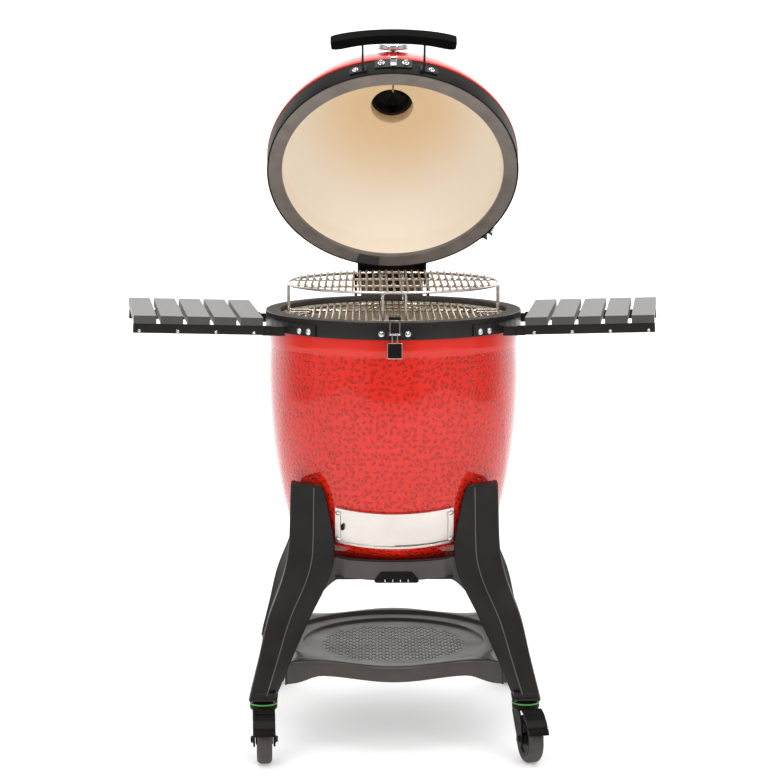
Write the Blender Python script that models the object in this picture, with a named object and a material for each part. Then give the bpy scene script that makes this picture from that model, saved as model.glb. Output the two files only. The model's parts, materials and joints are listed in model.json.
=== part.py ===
"""Kamado ceramic grill on a four-legged cart, lid open.

Frame: metres, +Z up, -Y is the front. The origin is on the floor under the bowl's axis.
Every sub-part is one closed body in its own object, and touching parts keep a gap of 0.3 mm.
"""
import bpy
import bmesh
from math import acos, atan2, cos, pi, radians, sin, sqrt
from mathutils import Matrix, Vector

# ---------------------------------------------------------------- driving dimensions
GAP = 0.0003                    # between pieces that touch
SEGMENTS = 36                   # sides of the big turned pieces

RIM_Z = 0.911                   # where the lid's gasket meets the bowl's gasket
RIM_R = 0.273                   # outside of bands and gaskets
MOUTH_R = 0.241                 # clear radius inside the rim
GASKET_H = 0.011
BAND_H = 0.0255
WALL_T = 0.027                  # ceramic wall

BOWL_R = 0.2667                 # bowl's widest radius
BOWL_WIDEST_Z = 0.777
BOWL_EGG_H = 0.598              # half height of the egg that the bowl's side follows
BOWL_FOOT_Z = 0.372
BOWL_TURN_Z = 0.450             # below this the side turns in to the foot

DOME_R = 0.2754
DOME_H = 0.2257
DOME_BASE_Z = 0.9590
VENT_R = 0.047                  # chimney hole in the dome

HINGE_Y = 0.336
HINGE_Z = 0.942
LID_OPEN = radians(52.8)        # rest pose of the lid

DOOR_TILT = radians(15.0)       # the draft door's curve leans out like the bowl's wall
DOOR_AXIS_Z = 0.5340            # where its axis crosses the bowl's axis
DOOR_HALF_H = 0.0400
DOOR_HALF_ANGLE = radians(30.2)
DOOR_CHANNEL = radians(27.3)    # the sliding panel's channel ends here, each way
DOOR_WINDOW = (radians(-24.9), radians(-2.9))
DOOR_WINDOW_Z = (0.446, 0.496)

GRATE_Z = 0.902                 # top of the main grate's rods
GRATE_R = 0.226
EXPANDER_Z = 0.973              # top of the raised grate's rods
EXPANDER_R = 0.2250
ROD_R = 0.0021
ROD_PITCH = 0.0143

SHELF_YAW = radians(7.74)       # side shelves sweep forward at their outer end
SHELF_TILT = radians(2.03)      # and rise a little
SHELF_CORNER = (0.2706, -0.170, 0.909)      # inner front top corner of the right shelf
SHELF_W = 0.266
SHELF_L = 0.359
SLAT_COUNT = 5
SLAT_W = 0.0465
SLAT_T = 0.0165
RAIL_H = 0.0195
RAIL_T = 0.004
REAR_RAIL_V = 0.268             # rear rail's place along the slats
FOLD_U = -0.010                 # fold axis, along and below the slats' top corner
FOLD_W = -0.0270

CASTER_XY = 0.2716
CASTER_TRAIL = 0.031
WHEEL_FACETS = 20
WHEEL_R = 0.050                 # to the flats
AXLE_Z = WHEEL_R
TYRE_W = 0.032
FORK_TOP_Z = 0.1240
CASTER_YAWS = {                 # direction in which each wheel trails, from +X
    "front_left": radians(-86.0),
    "front_right": radians(-76.0),
    "rear_left": radians(82.0),
    "rear_right": radians(97.0),
}

# Each leg's section by height: z, outer side, start of the chamfer, inner side,
# and depth of the inner edge. The leg is a bent plate, open towards the bowl.
LEG_WALL = 0.0040
LEG_SECTIONS = (
    (0.1390, 0.2985, 0.2640, 0.2410, 0.2550),
    (0.2100, 0.2810, 0.2420, 0.2110, 0.2410),
    (0.2910, 0.2620, 0.2170, 0.1740, 0.2240),
    (0.3630, 0.2350, 0.1850, 0.1380, 0.2100),
    (0.4070, 0.2235, 0.1720, 0.1260, 0.1990),
    (0.4480, 0.2190, 0.1690, 0.1260, 0.1892),
    (0.5230, 0.2165, 0.1675, 0.1390, 0.2024),
    (0.5660, 0.2150, 0.1667, 0.1500, 0.2060),
)


# ---------------------------------------------------------------- scene and materials
for old in list(bpy.data.objects):
    bpy.data.objects.remove(old, do_unlink=True)


def material(name, color, roughness, metallic=0.0):
    mat = bpy.data.materials.new(name)
    mat.use_nodes = True
    shader = mat.node_tree.nodes["Principled BSDF"]
    shader.inputs["Base Color"].default_value = (*color, 1.0)
    shader.inputs["Roughness"].default_value = roughness
    shader.inputs["Metallic"].default_value = metallic
    mat.diffuse_color = (*color, 1.0)
    return mat


GLAZE = material("red_glaze", (0.62, 0.03, 0.02), 0.12)
FELT = material("gasket", (0.17, 0.15, 0.12), 0.95)
BLACK_STEEL = material("black_steel", (0.03, 0.028, 0.027), 0.35)
STAINLESS = material("stainless", (0.62, 0.61, 0.59), 0.25, 1.0)
CAST_METAL = material("cast_metal", (0.05, 0.05, 0.05), 0.6)
FIRE_CLAY = material("fire_clay", (0.62, 0.52, 0.40), 0.9)
DEFLECTOR = material("deflector_clay", (0.46, 0.32, 0.15), 0.9)
SLAT = material("slat", (0.21, 0.19, 0.17), 0.6)
SHELF_GREY = material("shelf_grey", (0.10, 0.09, 0.08), 0.45)
RUBBER = material("rubber", (0.02, 0.02, 0.02), 0.8)
PLASTIC = material("plastic", (0.03, 0.03, 0.03), 0.5)
CHROME = material("chrome", (0.7, 0.7, 0.7), 0.08, 1.0)


# ---------------------------------------------------------------- modelling helpers
def add_object(name, bm, mat, origin=(0, 0, 0), smooth=None):
    """Turn a bmesh made in world space into an object whose origin is at `origin`."""
    bmesh.ops.recalc_face_normals(bm, faces=bm.faces)
    if bm.calc_volume(signed=True) < 0:
        bmesh.ops.reverse_faces(bm, faces=bm.faces)
    bm.transform(Matrix.Translation(-Vector(origin)))
    mesh = bpy.data.meshes.new(name)
    bm.to_mesh(mesh)
    bm.free()
    mesh.materials.append(mat)
    if smooth is not None:
        mesh.shade_smooth()
        mesh.set_sharp_from_angle(angle=radians(smooth))
    obj = bpy.data.objects.new(name, mesh)
    obj.location = origin
    bpy.context.scene.collection.objects.link(obj)
    return obj


def combine(obj, bm, operation="UNION"):
    """Union or cut an object with a bmesh made in world space, and apply it."""
    other = add_object(obj.name + "_tool", bm, obj.data.materials[0])
    modifier = obj.modifiers.new("combine", "BOOLEAN")
    modifier.operation = operation
    modifier.solver = "EXACT"
    modifier.object = other
    bpy.context.view_layer.update()
    evaluated = obj.evaluated_get(bpy.context.evaluated_depsgraph_get())
    result = bpy.data.meshes.new_from_object(evaluated)
    obj.modifiers.clear()
    obj.data = result
    bpy.data.objects.remove(other, do_unlink=True)
    return obj


def cut(bm, cutter):
    """Cut one bmesh with another, both made in world space, and return what is left."""
    scratch = add_object("scratch", bm, BLACK_STEEL)
    combine(scratch, cutter, "DIFFERENCE")
    result = bmesh.new()
    result.from_mesh(scratch.data)
    bpy.data.objects.remove(scratch, do_unlink=True)
    return result


def turned(profile, segments=SEGMENTS, start=0.0, sweep=2 * pi, centre=(0, 0, 0)):
    """Spin a closed outline of (radius, z) points about a vertical axis.

    Angles run from the front (-Y) towards +X. A partial sweep is capped at both ends.
    """
    bm = bmesh.new()
    verts = [bm.verts.new((r * sin(start), -r * cos(start), z)) for r, z in profile]
    full = abs(sweep - 2 * pi) < 1e-6
    on_axis = [full and r < 1e-9 for r, z in profile]
    edges = [bm.edges.new((verts[i - 1], verts[i])) for i in range(len(verts))
             if not (on_axis[i - 1] and on_axis[i])]
    bmesh.ops.spin(bm, geom=verts + edges, cent=(0, 0, 0), axis=(0, 0, 1), dvec=(0, 0, 0),
                   angle=sweep, steps=segments, use_merge=full, use_duplicate=False)
    bmesh.ops.remove_doubles(bm, verts=bm.verts, dist=1e-6)
    if not full:
        ends = [e for e in bm.edges if e.is_boundary]
        bmesh.ops.holes_fill(bm, edges=ends, sides=0)
    bm.transform(Matrix.Translation(centre))
    return bm


def prism(outline, low, high, axis="Z"):
    """Extrude a closed outline. axis Z takes (x, y) points, X takes (y, z), Y takes (x, z)."""
    place = {
        "Z": lambda a, b, h: (a, b, h),
        "X": lambda a, b, h: (h, a, b),
        "Y": lambda a, b, h: (a, h, b),
    }[axis]
    bm = bmesh.new()
    base = bm.faces.new([bm.verts.new(place(a, b, low)) for a, b in outline])
    grown = bmesh.ops.extrude_face_region(bm, geom=[base])
    top = [v for v in grown["geom"] if isinstance(v, bmesh.types.BMVert)]
    shift = Vector(place(0, 0, high)) - Vector(place(0, 0, low))
    bmesh.ops.translate(bm, verts=top, vec=shift)
    return bm


def disc(radius, low, high, sides):
    """A flat round plate about the vertical axis, with no middle point."""
    return prism([(radius * sin(2 * pi * k / sides), -radius * cos(2 * pi * k / sides))
                  for k in range(sides)], low, high)


def block(low, high):
    return prism(((low[0], low[1]), (high[0], low[1]), (high[0], high[1]), (low[0], high[1])),
                 low[2], high[2])


def merged(*parts):
    """Put several bmeshes, that don't touch each other, into one."""
    whole = bmesh.new()
    for part in parts:
        scratch = bpy.data.meshes.new("scratch")
        part.to_mesh(scratch)
        part.free()
        whole.from_mesh(scratch)
        bpy.data.meshes.remove(scratch)
    return whole


def tube(points, radius, sides=6, closed=False, up=(0, 0, 1)):
    """Sweep a section along a line of points, without twist and mitred where it bends."""
    points = [Vector(p) for p in points]
    count = len(points)
    bm = bmesh.new()
    rings = []
    side, last = None, None
    for i, p in enumerate(points):
        before = points[i - 1] if (closed or i) else None
        after = points[(i + 1) % count] if (closed or i < count - 1) else None
        back = (p - before).normalized() if before else (after - p).normalized()
        ahead = (after - p).normalized() if after else back
        tangent = (back + ahead).normalized()
        if side is None:
            side = tangent.cross(Vector(up))
            if side.length < 1e-4:
                side = tangent.cross(Vector((1, 0, 0)))
            side.normalize()
        else:
            side.rotate(last.rotation_difference(tangent))
        last = tangent
        normal = side.cross(tangent)
        stretch = 1 / max(0.35, tangent.dot(ahead))
        bend = ahead - back
        ring = []
        for k in range(sides):
            angle = 2 * pi * (k + 0.5) / sides
            offset = side * cos(angle) * radius + normal * sin(angle) * radius
            if bend.length > 1e-6:
                outward = bend.normalized()
                offset += outward * offset.dot(outward) * (stretch - 1)
            ring.append(bm.verts.new(p + offset))
        rings.append(ring)
    pairs = range(count) if closed else range(count - 1)
    for i in pairs:
        first, second = rings[i], rings[(i + 1) % count]
        for k in range(sides):
            n = (k + 1) % sides
            bm.faces.new((first[k], first[n], second[n], second[k]))
    if not closed:
        bm.faces.new(rings[0])
        bm.faces.new(rings[-1])
    return bm


def lofted(sections):
    """Join closed outlines of (x, y, z) points, one above the other, and cap the ends."""
    bm = bmesh.new()
    rings = [[bm.verts.new(p) for p in outline] for outline in sections]
    for low, high in zip(rings, rings[1:]):
        for k in range(len(low)):
            n = (k + 1) % len(low)
            bm.faces.new((low[k], low[n], high[n], high[k]))
    bm.faces.new(rings[0])
    bm.faces.new(rings[-1])
    return bm


def ring_points(radius, z, count):
    return [(radius * sin(2 * pi * k / count), -radius * cos(2 * pi * k / count), z)
            for k in range(count)]


# ---------------------------------------------------------------- bowl
def bowl_radius(z):
    """Outside radius of the bowl: a long egg, turned in to the foot at the bottom."""
    drop = max(0.0, BOWL_WIDEST_Z - z) / BOWL_EGG_H
    radius = BOWL_R * sqrt(1 - drop * drop)
    turn = max(0.0, BOWL_TURN_Z - z) / (BOWL_TURN_Z - BOWL_FOOT_Z + 0.012)
    return radius * (1 - turn ** 2.6) ** (1 / 2.6)


def bowl_inner_radius(z):
    return min(MOUTH_R, bowl_radius(z) - WALL_T)


SHELL_TOP_Z = RIM_Z - GASKET_H - GAP
BOWL_FLOOR_Z = 0.402


def make_bowl():
    outer_z = [0.800, 0.720, 0.640, 0.570, 0.510, 0.460, 0.425, 0.400, 0.384, BOWL_FOOT_Z]
    inner_z = [BOWL_FLOOR_Z + 0.006, 0.430, 0.470, 0.530, 0.600, 0.680, 0.780]
    outline = [(MOUTH_R, SHELL_TOP_Z), (BOWL_R, SHELL_TOP_Z)]
    outline += [(bowl_radius(z), z) for z in outer_z]
    outline += [(0.0, BOWL_FOOT_Z), (0.0, BOWL_FLOOR_Z), (0.120, BOWL_FLOOR_Z)]
    outline += [(bowl_inner_radius(z), z) for z in inner_z]
    shell = add_object("base_shell", turned(outline), GLAZE, smooth=40)
    low, high = DOOR_WINDOW_Z
    cutter = turned(((0.150, low), (0.260, low), (0.260, high), (0.150, high)), 6,
                    DOOR_WINDOW[0], DOOR_WINDOW[1] - DOOR_WINDOW[0])
    combine(shell, cutter, "DIFFERENCE")

    inner = BOWL_R + GAP
    band_top = SHELL_TOP_Z
    band_low = band_top - BAND_H
    outline = ((inner, band_low), (RIM_R, band_low), (RIM_R, band_top), (inner, band_top))
    add_object("base_band", turned(outline), BLACK_STEEL, smooth=40)

    low, high = SHELL_TOP_Z + GAP, RIM_Z
    outline = ((MOUTH_R, low), (RIM_R, low), (RIM_R, high), (MOUTH_R, high))
    add_object("base_gasket", turned(outline), FELT, smooth=60)


# ---------------------------------------------------------------- inside the bowl
FIRE_BOX_TOP = 0.660
FIRE_RING_TOP = 0.800
COAL_GRATE_Z = 0.505


def make_fire_box():
    clearance, wall = 0.010, 0.018
    heights = [FIRE_BOX_TOP, 0.580, 0.530, 0.490, 0.440]
    outside = [(bowl_inner_radius(z) - clearance, z) for z in heights]
    foot = BOWL_FLOOR_Z + GAP
    outline = outside + [(0.120, foot), (0.0, foot), (0.0, foot + wall), (0.110, foot + wall)]
    inside = [(r - wall, z) for r, z in reversed(outside)]
    ledge_r = outside[3][0] - wall
    for r, z in inside:
        outline.append((r, z))
        if abs(z - heights[3]) < 1e-6:
            outline += [(ledge_r, COAL_GRATE_Z - 0.001), (ledge_r + 0.006, COAL_GRATE_Z - 0.001)]
    box = add_object("fire_box", turned(outline, 28), FIRE_CLAY, smooth=40)
    start, end = DOOR_WINDOW
    low, high = DOOR_WINDOW_Z
    slot = turned(((0.110, low), (0.240, low), (0.240, high - 0.008), (0.110, high - 0.008)), 5,
                  start, end - start)
    combine(box, slot, "DIFFERENCE")

    outer = bowl_inner_radius(FIRE_BOX_TOP) - clearance
    outline = ((outer, FIRE_BOX_TOP + GAP), (outer + 0.004, FIRE_RING_TOP),
               (outer - 0.018, FIRE_RING_TOP), (outer - 0.020, FIRE_BOX_TOP + GAP))
    add_object("fire_ring", turned(outline, 32), FIRE_CLAY, smooth=40)


def make_coal_grate():
    """Cast disc with rows of slots, resting on the fire box's ledge."""
    radius, thick = 0.172, 0.009
    plate = disc(radius, COAL_GRATE_Z, COAL_GRATE_Z + thick, 28)
    grate = add_object("charcoal_grate", plate, CAST_METAL, smooth=40)
    slots = []
    for row in range(-4, 5):
        x = row * 0.034
        reach = sqrt((radius - 0.018) ** 2 - x * x)
        slots.append(block((x - 0.008, -reach, COAL_GRATE_Z - 0.01),
                           (x + 0.008, reach, COAL_GRATE_Z + thick + 0.01)))
    combine(grate, merged(*slots), "DIFFERENCE")


RACK_R = 0.2140
RACK_RING_Z = FIRE_RING_TOP + 0.0035
DEFLECTOR_Z = 0.850


def make_rack():
    """Wire rack on the fire ring: a low ring, a middle ring and an upper ring on uprights."""
    wire = 0.003
    tops = GRATE_Z - 2 * ROD_R - 2 * wire - 0.0040      # the main grate's ring rests on it
    rack = add_object("cooking_rack", tube(ring_points(RACK_R, RACK_RING_Z, 28), wire, 4, True),
                      STAINLESS, smooth=50)
    combine(rack, tube(ring_points(RACK_R, tops, 28), wire, 4, True))
    for k in range(4):
        angle = pi / 4 + k * pi / 2
        x, y = RACK_R * sin(angle), -RACK_R * cos(angle)
        combine(rack, tube([(x, y, RACK_RING_Z), (x, y, tops)], wire * 0.9, 4))
        inner = (RACK_R - 0.030) / RACK_R
        shelf_z = DEFLECTOR_Z - wire
        combine(rack, tube([(x, y, shelf_z), (x * inner, y * inner, shelf_z)], wire * 0.8, 4))


def make_deflectors():
    """Two half-round clay plates that keep the fire's heat off the food."""
    radius, thick, split = 0.2070, 0.012, 0.003
    start = acos(split / radius)
    for name, sign in (("heat_deflector_left", -1), ("heat_deflector_right", 1)):
        steps = 18
        outline = []
        for k in range(steps + 1):
            angle = -start + 2 * start * k / steps
            outline.append((sign * radius * cos(angle), radius * sin(angle)))
        low = DEFLECTOR_Z
        add_object(name, prism(outline, low, low + thick), DEFLECTOR, smooth=40)


def grate_rods(radius, count, top, reach=0.002):
    """Rods from front to back, evenly spaced, each as long as the ring allows."""
    rods = []
    for k in range(count):
        x = (k - (count - 1) / 2) * ROD_PITCH
        half = sqrt(radius * radius - x * x) + reach
        rods.append(tube([(x, -half, top - ROD_R), (x, half, top - ROD_R)], ROD_R * 1.2, 4))
    return merged(*rods)


def cross_bars(radius, places, z, wire):
    bars = []
    for y in places:
        half = sqrt(radius * radius - y * y)
        bars.append(tube([(-half, y, z), (half, y, z)], wire, 4))
    return merged(*bars)


def make_grates():
    """The main grate at the rim, and the raised grate that stands on it."""
    wire = 0.0030
    ring_z = GRATE_Z - 2 * ROD_R - wire + 0.0008
    main = add_object("cooking_grate", tube(ring_points(GRATE_R, ring_z, 32), wire * 1.2, 4, True),
                      STAINLESS, smooth=50)
    combine(main, cross_bars(GRATE_R, (-0.105, 0.105), ring_z - 0.0014, wire))
    combine(main, grate_rods(GRATE_R, 31, GRATE_Z))

    ring_z = EXPANDER_Z - 2 * ROD_R - wire + 0.0008
    raised = add_object("expander_grate", tube(ring_points(EXPANDER_R, ring_z, 32), wire * 1.2, 4, True),
                        STAINLESS, smooth=50)
    combine(raised, cross_bars(EXPANDER_R, (-0.075, 0.075), ring_z - 0.0014, wire))
    combine(raised, grate_rods(EXPANDER_R, 29, EXPANDER_Z))
    leg_wire, half_width, foot_z = 0.0025, 0.0235, GRATE_Z + GAP + 0.0025
    place = EXPANDER_R - 0.0010
    for k in range(4):
        angle = k * pi / 2
        out = Vector((sin(angle), -cos(angle), 0))
        along = Vector((cos(angle), sin(angle), 0))
        a = out * place - along * half_width
        b = out * place + along * half_width
        reach = out * (place - 0.045)
        top = Vector((0, 0, ring_z - 0.001))
        foot = Vector((0, 0, foot_z))
        path = [reach - along * half_width + foot, a + foot, a + top, b + top, b + foot,
                reach + along * half_width + foot]
        combine(raised, tube(path, leg_wire, 4, up=(0, 0, 1)))


# ---------------------------------------------------------------- draft door
DOOR_PLACE = Matrix.Translation((0, 0, DOOR_AXIS_Z)) @ Matrix.Rotation(DOOR_TILT, 4, "X")


def door_radius(h):
    """Distance of the bowl's front from the door's leaning axis, at a height along it."""
    radius = 0.245
    for _ in range(20):
        z = DOOR_AXIS_Z + h * cos(DOOR_TILT) - radius * sin(DOOR_TILT)
        radius = (bowl_radius(z) - h * sin(DOOR_TILT)) / cos(DOOR_TILT)
    return radius


def make_draft_door():
    """A curved frame on the bowl's lower front, with a panel that slides inside its lips."""
    seat, plate, slot, lip = 0.0016, 0.0020, 0.0026, 0.0015
    edge = 0.0050

    def point(h, out):
        return door_radius(h) + out, h

    def placed(bm):
        bm.transform(DOOR_PLACE)
        return bm

    low, high = -DOOR_HALF_H, DOOR_HALF_H
    back, face = seat, seat + plate
    front = face + slot
    outer = front + lip
    middle = (low + high) / 2
    outline = [point(high, back), point(high, outer), point(middle, outer), point(low, outer),
               point(low, back), point(middle, back)]
    frame = add_object("draft_door_frame",
                       placed(turned(outline, 12, -DOOR_HALF_ANGLE, 2 * DOOR_HALF_ANGLE)),
                       STAINLESS, smooth=30)
    groove = 0.0015
    channel = [point(high - groove, face), point(high - groove, front),
               point(high - edge, front), point(high - edge, outer + 0.002),
               point(middle, outer + 0.002), point(low + edge, outer + 0.002),
               point(low + edge, front), point(low + groove, front), point(low + groove, face),
               point(middle, face)]
    combine(frame, placed(turned(channel, 12, -DOOR_CHANNEL, 2 * DOOR_CHANNEL)), "DIFFERENCE")
    window = (DOOR_WINDOW_Z[1] - DOOR_WINDOW_Z[0]) / 2
    cutter = turned(((0.220, -window), (0.270, -window), (0.270, window), (0.220, window)), 6,
                    DOOR_WINDOW[0], DOOR_WINDOW[1] - DOOR_WINDOW[0])
    combine(frame, placed(cutter), "DIFFERENCE")

    near, far = face + 0.0005, front - 0.0005
    low, high = low + 0.0021, high - 0.0021
    outline = [point(high, near), point(high, far), point(middle, far), point(low, far),
               point(low, near), point(middle, near)]
    start = radians(-27.0)
    door = add_object("draft_door", placed(turned(outline, 8, start, radians(27.4))), STAINLESS,
                      smooth=30)
    knob = turned((point(0.008, near + 0.0003), point(0.008, far + 0.008),
                   point(-0.008, far + 0.008), point(-0.008, near + 0.0003)), 1,
                  radians(-26.6), radians(1.2))
    combine(door, placed(knob))


# ---------------------------------------------------------------- lid, drawn closed
def dome_radius(z):
    t = max(0.0, z - DOME_BASE_Z) / DOME_H
    return DOME_R * (1 - t ** 1.292) ** (1 / 1.979)


LID_FACE_Z = RIM_Z + 0.0010     # underside of the lid's gasket when shut
LID_SHELL_Z = LID_FACE_Z + GASKET_H + GAP
LID_BAND_TOP = DOME_BASE_Z - GAP
VENT_SEAT_Z = 1.1760
HINGE = Vector((0.0, HINGE_Y, HINGE_Z))
OPENED = (Matrix.Translation(HINGE) @ Matrix.Rotation(-LID_OPEN, 4, "X")
          @ Matrix.Translation(-HINGE))
lid_pieces = []


def lid_piece(name, bm, mat, smooth=None):
    """A piece of the lid drawn shut, with its origin on the hinge axis."""
    obj = add_object(name, bm, mat, HINGE, smooth)
    lid_pieces.append(obj)
    return obj


THERMO_Z = 1.030
THERMO_Y = -dome_radius(THERMO_Z)


def thermo_matrix():
    """Frame on the dome's front: +Z looks out along the dome's normal."""
    step = 0.002
    rise = Vector((0, -dome_radius(THERMO_Z + step) + dome_radius(THERMO_Z - step), 2 * step))
    normal = Vector((0, -rise.z, rise.y)).normalized()
    turn = Vector((0, 0, 1)).rotation_difference(normal).to_matrix().to_4x4()
    return Matrix.Translation((0, THERMO_Y, THERMO_Z)) @ turn


def make_lid():
    inner_h = DOME_H - 0.022
    outer_t = [0.0, 0.14, 0.30, 0.46, 0.62, 0.76, 0.87, 0.93]
    inner_t = [0.88, 0.76, 0.60, 0.44, 0.28, 0.12]

    def inner_point(t):
        z = DOME_BASE_Z - 0.004 + inner_h * t
        r = (DOME_R - 0.031) * (1 - t ** 1.45) ** (1 / 2.1)
        return min(MOUTH_R, r), z

    outline = [(MOUTH_R, LID_SHELL_Z), (BOWL_R, LID_SHELL_Z), (BOWL_R, DOME_BASE_Z)]
    outline += [(dome_radius(DOME_BASE_Z + DOME_H * t), DOME_BASE_Z + DOME_H * t)
                for t in outer_t]
    outline += [(VENT_R + 0.022, VENT_SEAT_Z), (VENT_R, VENT_SEAT_Z)]
    outline += [(VENT_R, inner_point(0.94)[1])]
    outline += [inner_point(t) for t in inner_t]
    shell = lid_piece("lid_shell", turned(outline), GLAZE, smooth=40)
    hole = turned(((0.0, -0.06), (0.0062, -0.06), (0.0062, 0.03), (0.0, 0.03)), 12)
    hole.transform(thermo_matrix())
    combine(shell, hole, "DIFFERENCE")

    inner = BOWL_R + GAP
    low, high = LID_SHELL_Z, LID_BAND_TOP
    outline = ((inner, low), (RIM_R + 0.0005, low), (RIM_R + 0.0005, high), (inner, high))
    lid_piece("lid_band", turned(outline), BLACK_STEEL, smooth=40)

    low, high = LID_FACE_Z, LID_FACE_Z + GASKET_H
    outline = ((MOUTH_R, low), (RIM_R, low), (RIM_R, high), (MOUTH_R, high))
    lid_piece("lid_gasket", turned(outline), FELT, smooth=60)


def make_thermometer():
    place = thermo_matrix()
    outline = ((0.0, -0.088), (0.0022, -0.088), (0.0022, 0.0010), (0.0150, 0.0015),
               (0.0330, 0.0040), (0.0345, 0.0060), (0.0345, 0.0130), (0.0320, 0.0155),
               (0.0290, 0.0155), (0.0280, 0.0135), (0.0, 0.0135))
    bm = turned(outline, 20)
    bm.transform(place)
    lid_piece("thermometer", bm, CHROME, smooth=40)


VENT_LOW_Z = 1.1745
VENT_TOP_Z = 1.2060
VENT_HOLES = 4


def make_vent():
    """Cast chimney in the dome's hole, and a wheel on it that turns to open its holes."""
    neck = VENT_R - 0.001
    outline = ((neck - 0.006, VENT_LOW_Z), (neck, VENT_LOW_Z), (neck, VENT_SEAT_Z + GAP),
               (0.066, VENT_SEAT_Z + GAP), (0.066, VENT_SEAT_Z + 0.007), (0.056, VENT_SEAT_Z + 0.010),
               (0.056, VENT_TOP_Z), (0.0, VENT_TOP_Z), (0.0, VENT_TOP_Z - 0.005),
               (neck - 0.006, VENT_TOP_Z - 0.005))
    base = lid_piece("vent_base", turned(outline, 20), CAST_METAL, smooth=40)
    combine(base, vent_holes(VENT_TOP_Z - 0.02, VENT_TOP_Z + 0.01), "DIFFERENCE")

    low = VENT_TOP_Z + GAP
    outline = ((0.0, low), (0.058, low), (0.058, low + 0.005), (0.054, low + 0.007),
               (0.018, low + 0.007), (0.014, low + 0.016), (0.0, low + 0.018))
    cap = lid_piece("vent_cap", turned(outline, 20), CAST_METAL, smooth=40)
    combine(cap, vent_holes(low - 0.01, low + 0.03, half_step=True), "DIFFERENCE")
    tab = block((-0.008, -0.074, low + 0.001), (0.008, -0.052, low + 0.006))
    combine(cap, tab)


def vent_holes(low, high, half_step=False):
    shift = pi / VENT_HOLES if half_step else 0.0
    holes = []
    for k in range(VENT_HOLES):
        angle = 2 * pi * k / VENT_HOLES + shift
        centre = (0.034 * sin(angle), -0.034 * cos(angle), 0)
        holes.append(turned(((0.0, low), (0.0120, low), (0.0120, high), (0.0, high)), 8,
                            start=angle + 0.1, centre=centre))
    return merged(*holes)


HANDLE_LOW_Z = 0.9300
HANDLE_TOP_Z = 0.9545
HANDLE_HALF = 0.1315
HANDLE_ARM_X = 0.0645


def make_handle():
    """A wide bar, bowed outwards, on two arms that bolt to the lid's band."""
    steps = 12
    outer, inner = [], []
    for k in range(steps + 1):
        s = -1 + 2 * k / steps
        x = HANDLE_HALF * s
        outer.append((x, -0.3560 + 0.0155 * s * s + 0.003 * s ** 10))
        inner.append((x * 0.985, -0.3340 + 0.0225 * abs(s) ** 2.5 - 0.009 * s ** 12))
    handle = lid_piece("lid_handle", prism(outer + inner[::-1], HANDLE_LOW_Z, HANDLE_TOP_Z),
                       PLASTIC, smooth=30)
    for sign in (-1, 1):
        x = sign * HANDLE_ARM_X
        low, high = 0.9280, 0.9400
        arm = prism(((-0.2795, low), (-0.3370, HANDLE_LOW_Z + 0.003),
                     (-0.3370, HANDLE_LOW_Z + 0.015), (-0.2795, high)),
                    x - 0.0022, x + 0.0022, "X")
        combine(handle, arm)
        centre = atan2(sign * 0.0735, 0.2650)
        foot = turned(((RIM_R + 0.0008, 0.9250), (RIM_R + 0.0038, 0.9250),
                       (RIM_R + 0.0038, 0.9430), (RIM_R + 0.0008, 0.9430)), 3,
                      centre - radians(4.0), radians(8.0))
        combine(handle, foot)
        link = block((x - 0.0022, -0.2820, low), (x + 0.0022, -0.2660, high))
        hull = turned(((0.2, low), (RIM_R + 0.0008, low), (RIM_R + 0.0008, high), (0.2, high)), 16,
                      centre - radians(8), radians(16))
        combine(handle, cut(link, hull))


def arc_plate(inner, outer, low, high, start, end, steps):
    """A plate bent to the band's curve."""
    outline = ((inner, low), (outer, low), (outer, high), (inner, high))
    return turned(outline, steps, start, end - start)


def make_keeper():
    """Catch plate on the lid's band that the latch's bail hooks over."""
    inner, outer = RIM_R + 0.0008, RIM_R + 0.0034
    keeper = lid_piece("latch_keeper",
                       arc_plate(inner, outer, 0.9300, 0.9560, radians(-8.2), radians(8.2), 6),
                       BLACK_STEEL, smooth=30)
    hook = prism(((-0.2745, 0.9330), (-0.2850, 0.9360), (-0.2905, 0.9440), (-0.2890, 0.9500),
                  (-0.2850, 0.9450), (-0.2800, 0.9470), (-0.2745, 0.9540)), -0.0065, 0.0065, "X")
    combine(keeper, hook)


# ---------------------------------------------------------------- hinge
PIN_R = 0.0060
PIN_HALF = 0.0870
SPRING_TURNS = 6
SPRING_HALF = 0.0600


def along_pin(profile, x, segments=20):
    """Spin an outline of (radius, distance) points about the hinge axis, from x on."""
    bm = turned(profile, segments)
    bm.transform(Matrix.Translation((x, HINGE_Y, HINGE_Z)) @ Matrix.Rotation(pi / 2, 4, "Y"))
    return bm


def pin_hole(x):
    """Cutter for the pin's hole through a plate near x."""
    radius, depth = PIN_R + GAP, 0.030
    return along_pin(((0.0, 0.0), (radius, 0.0), (radius, depth), (0.0, depth)), x - depth / 2)


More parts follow.
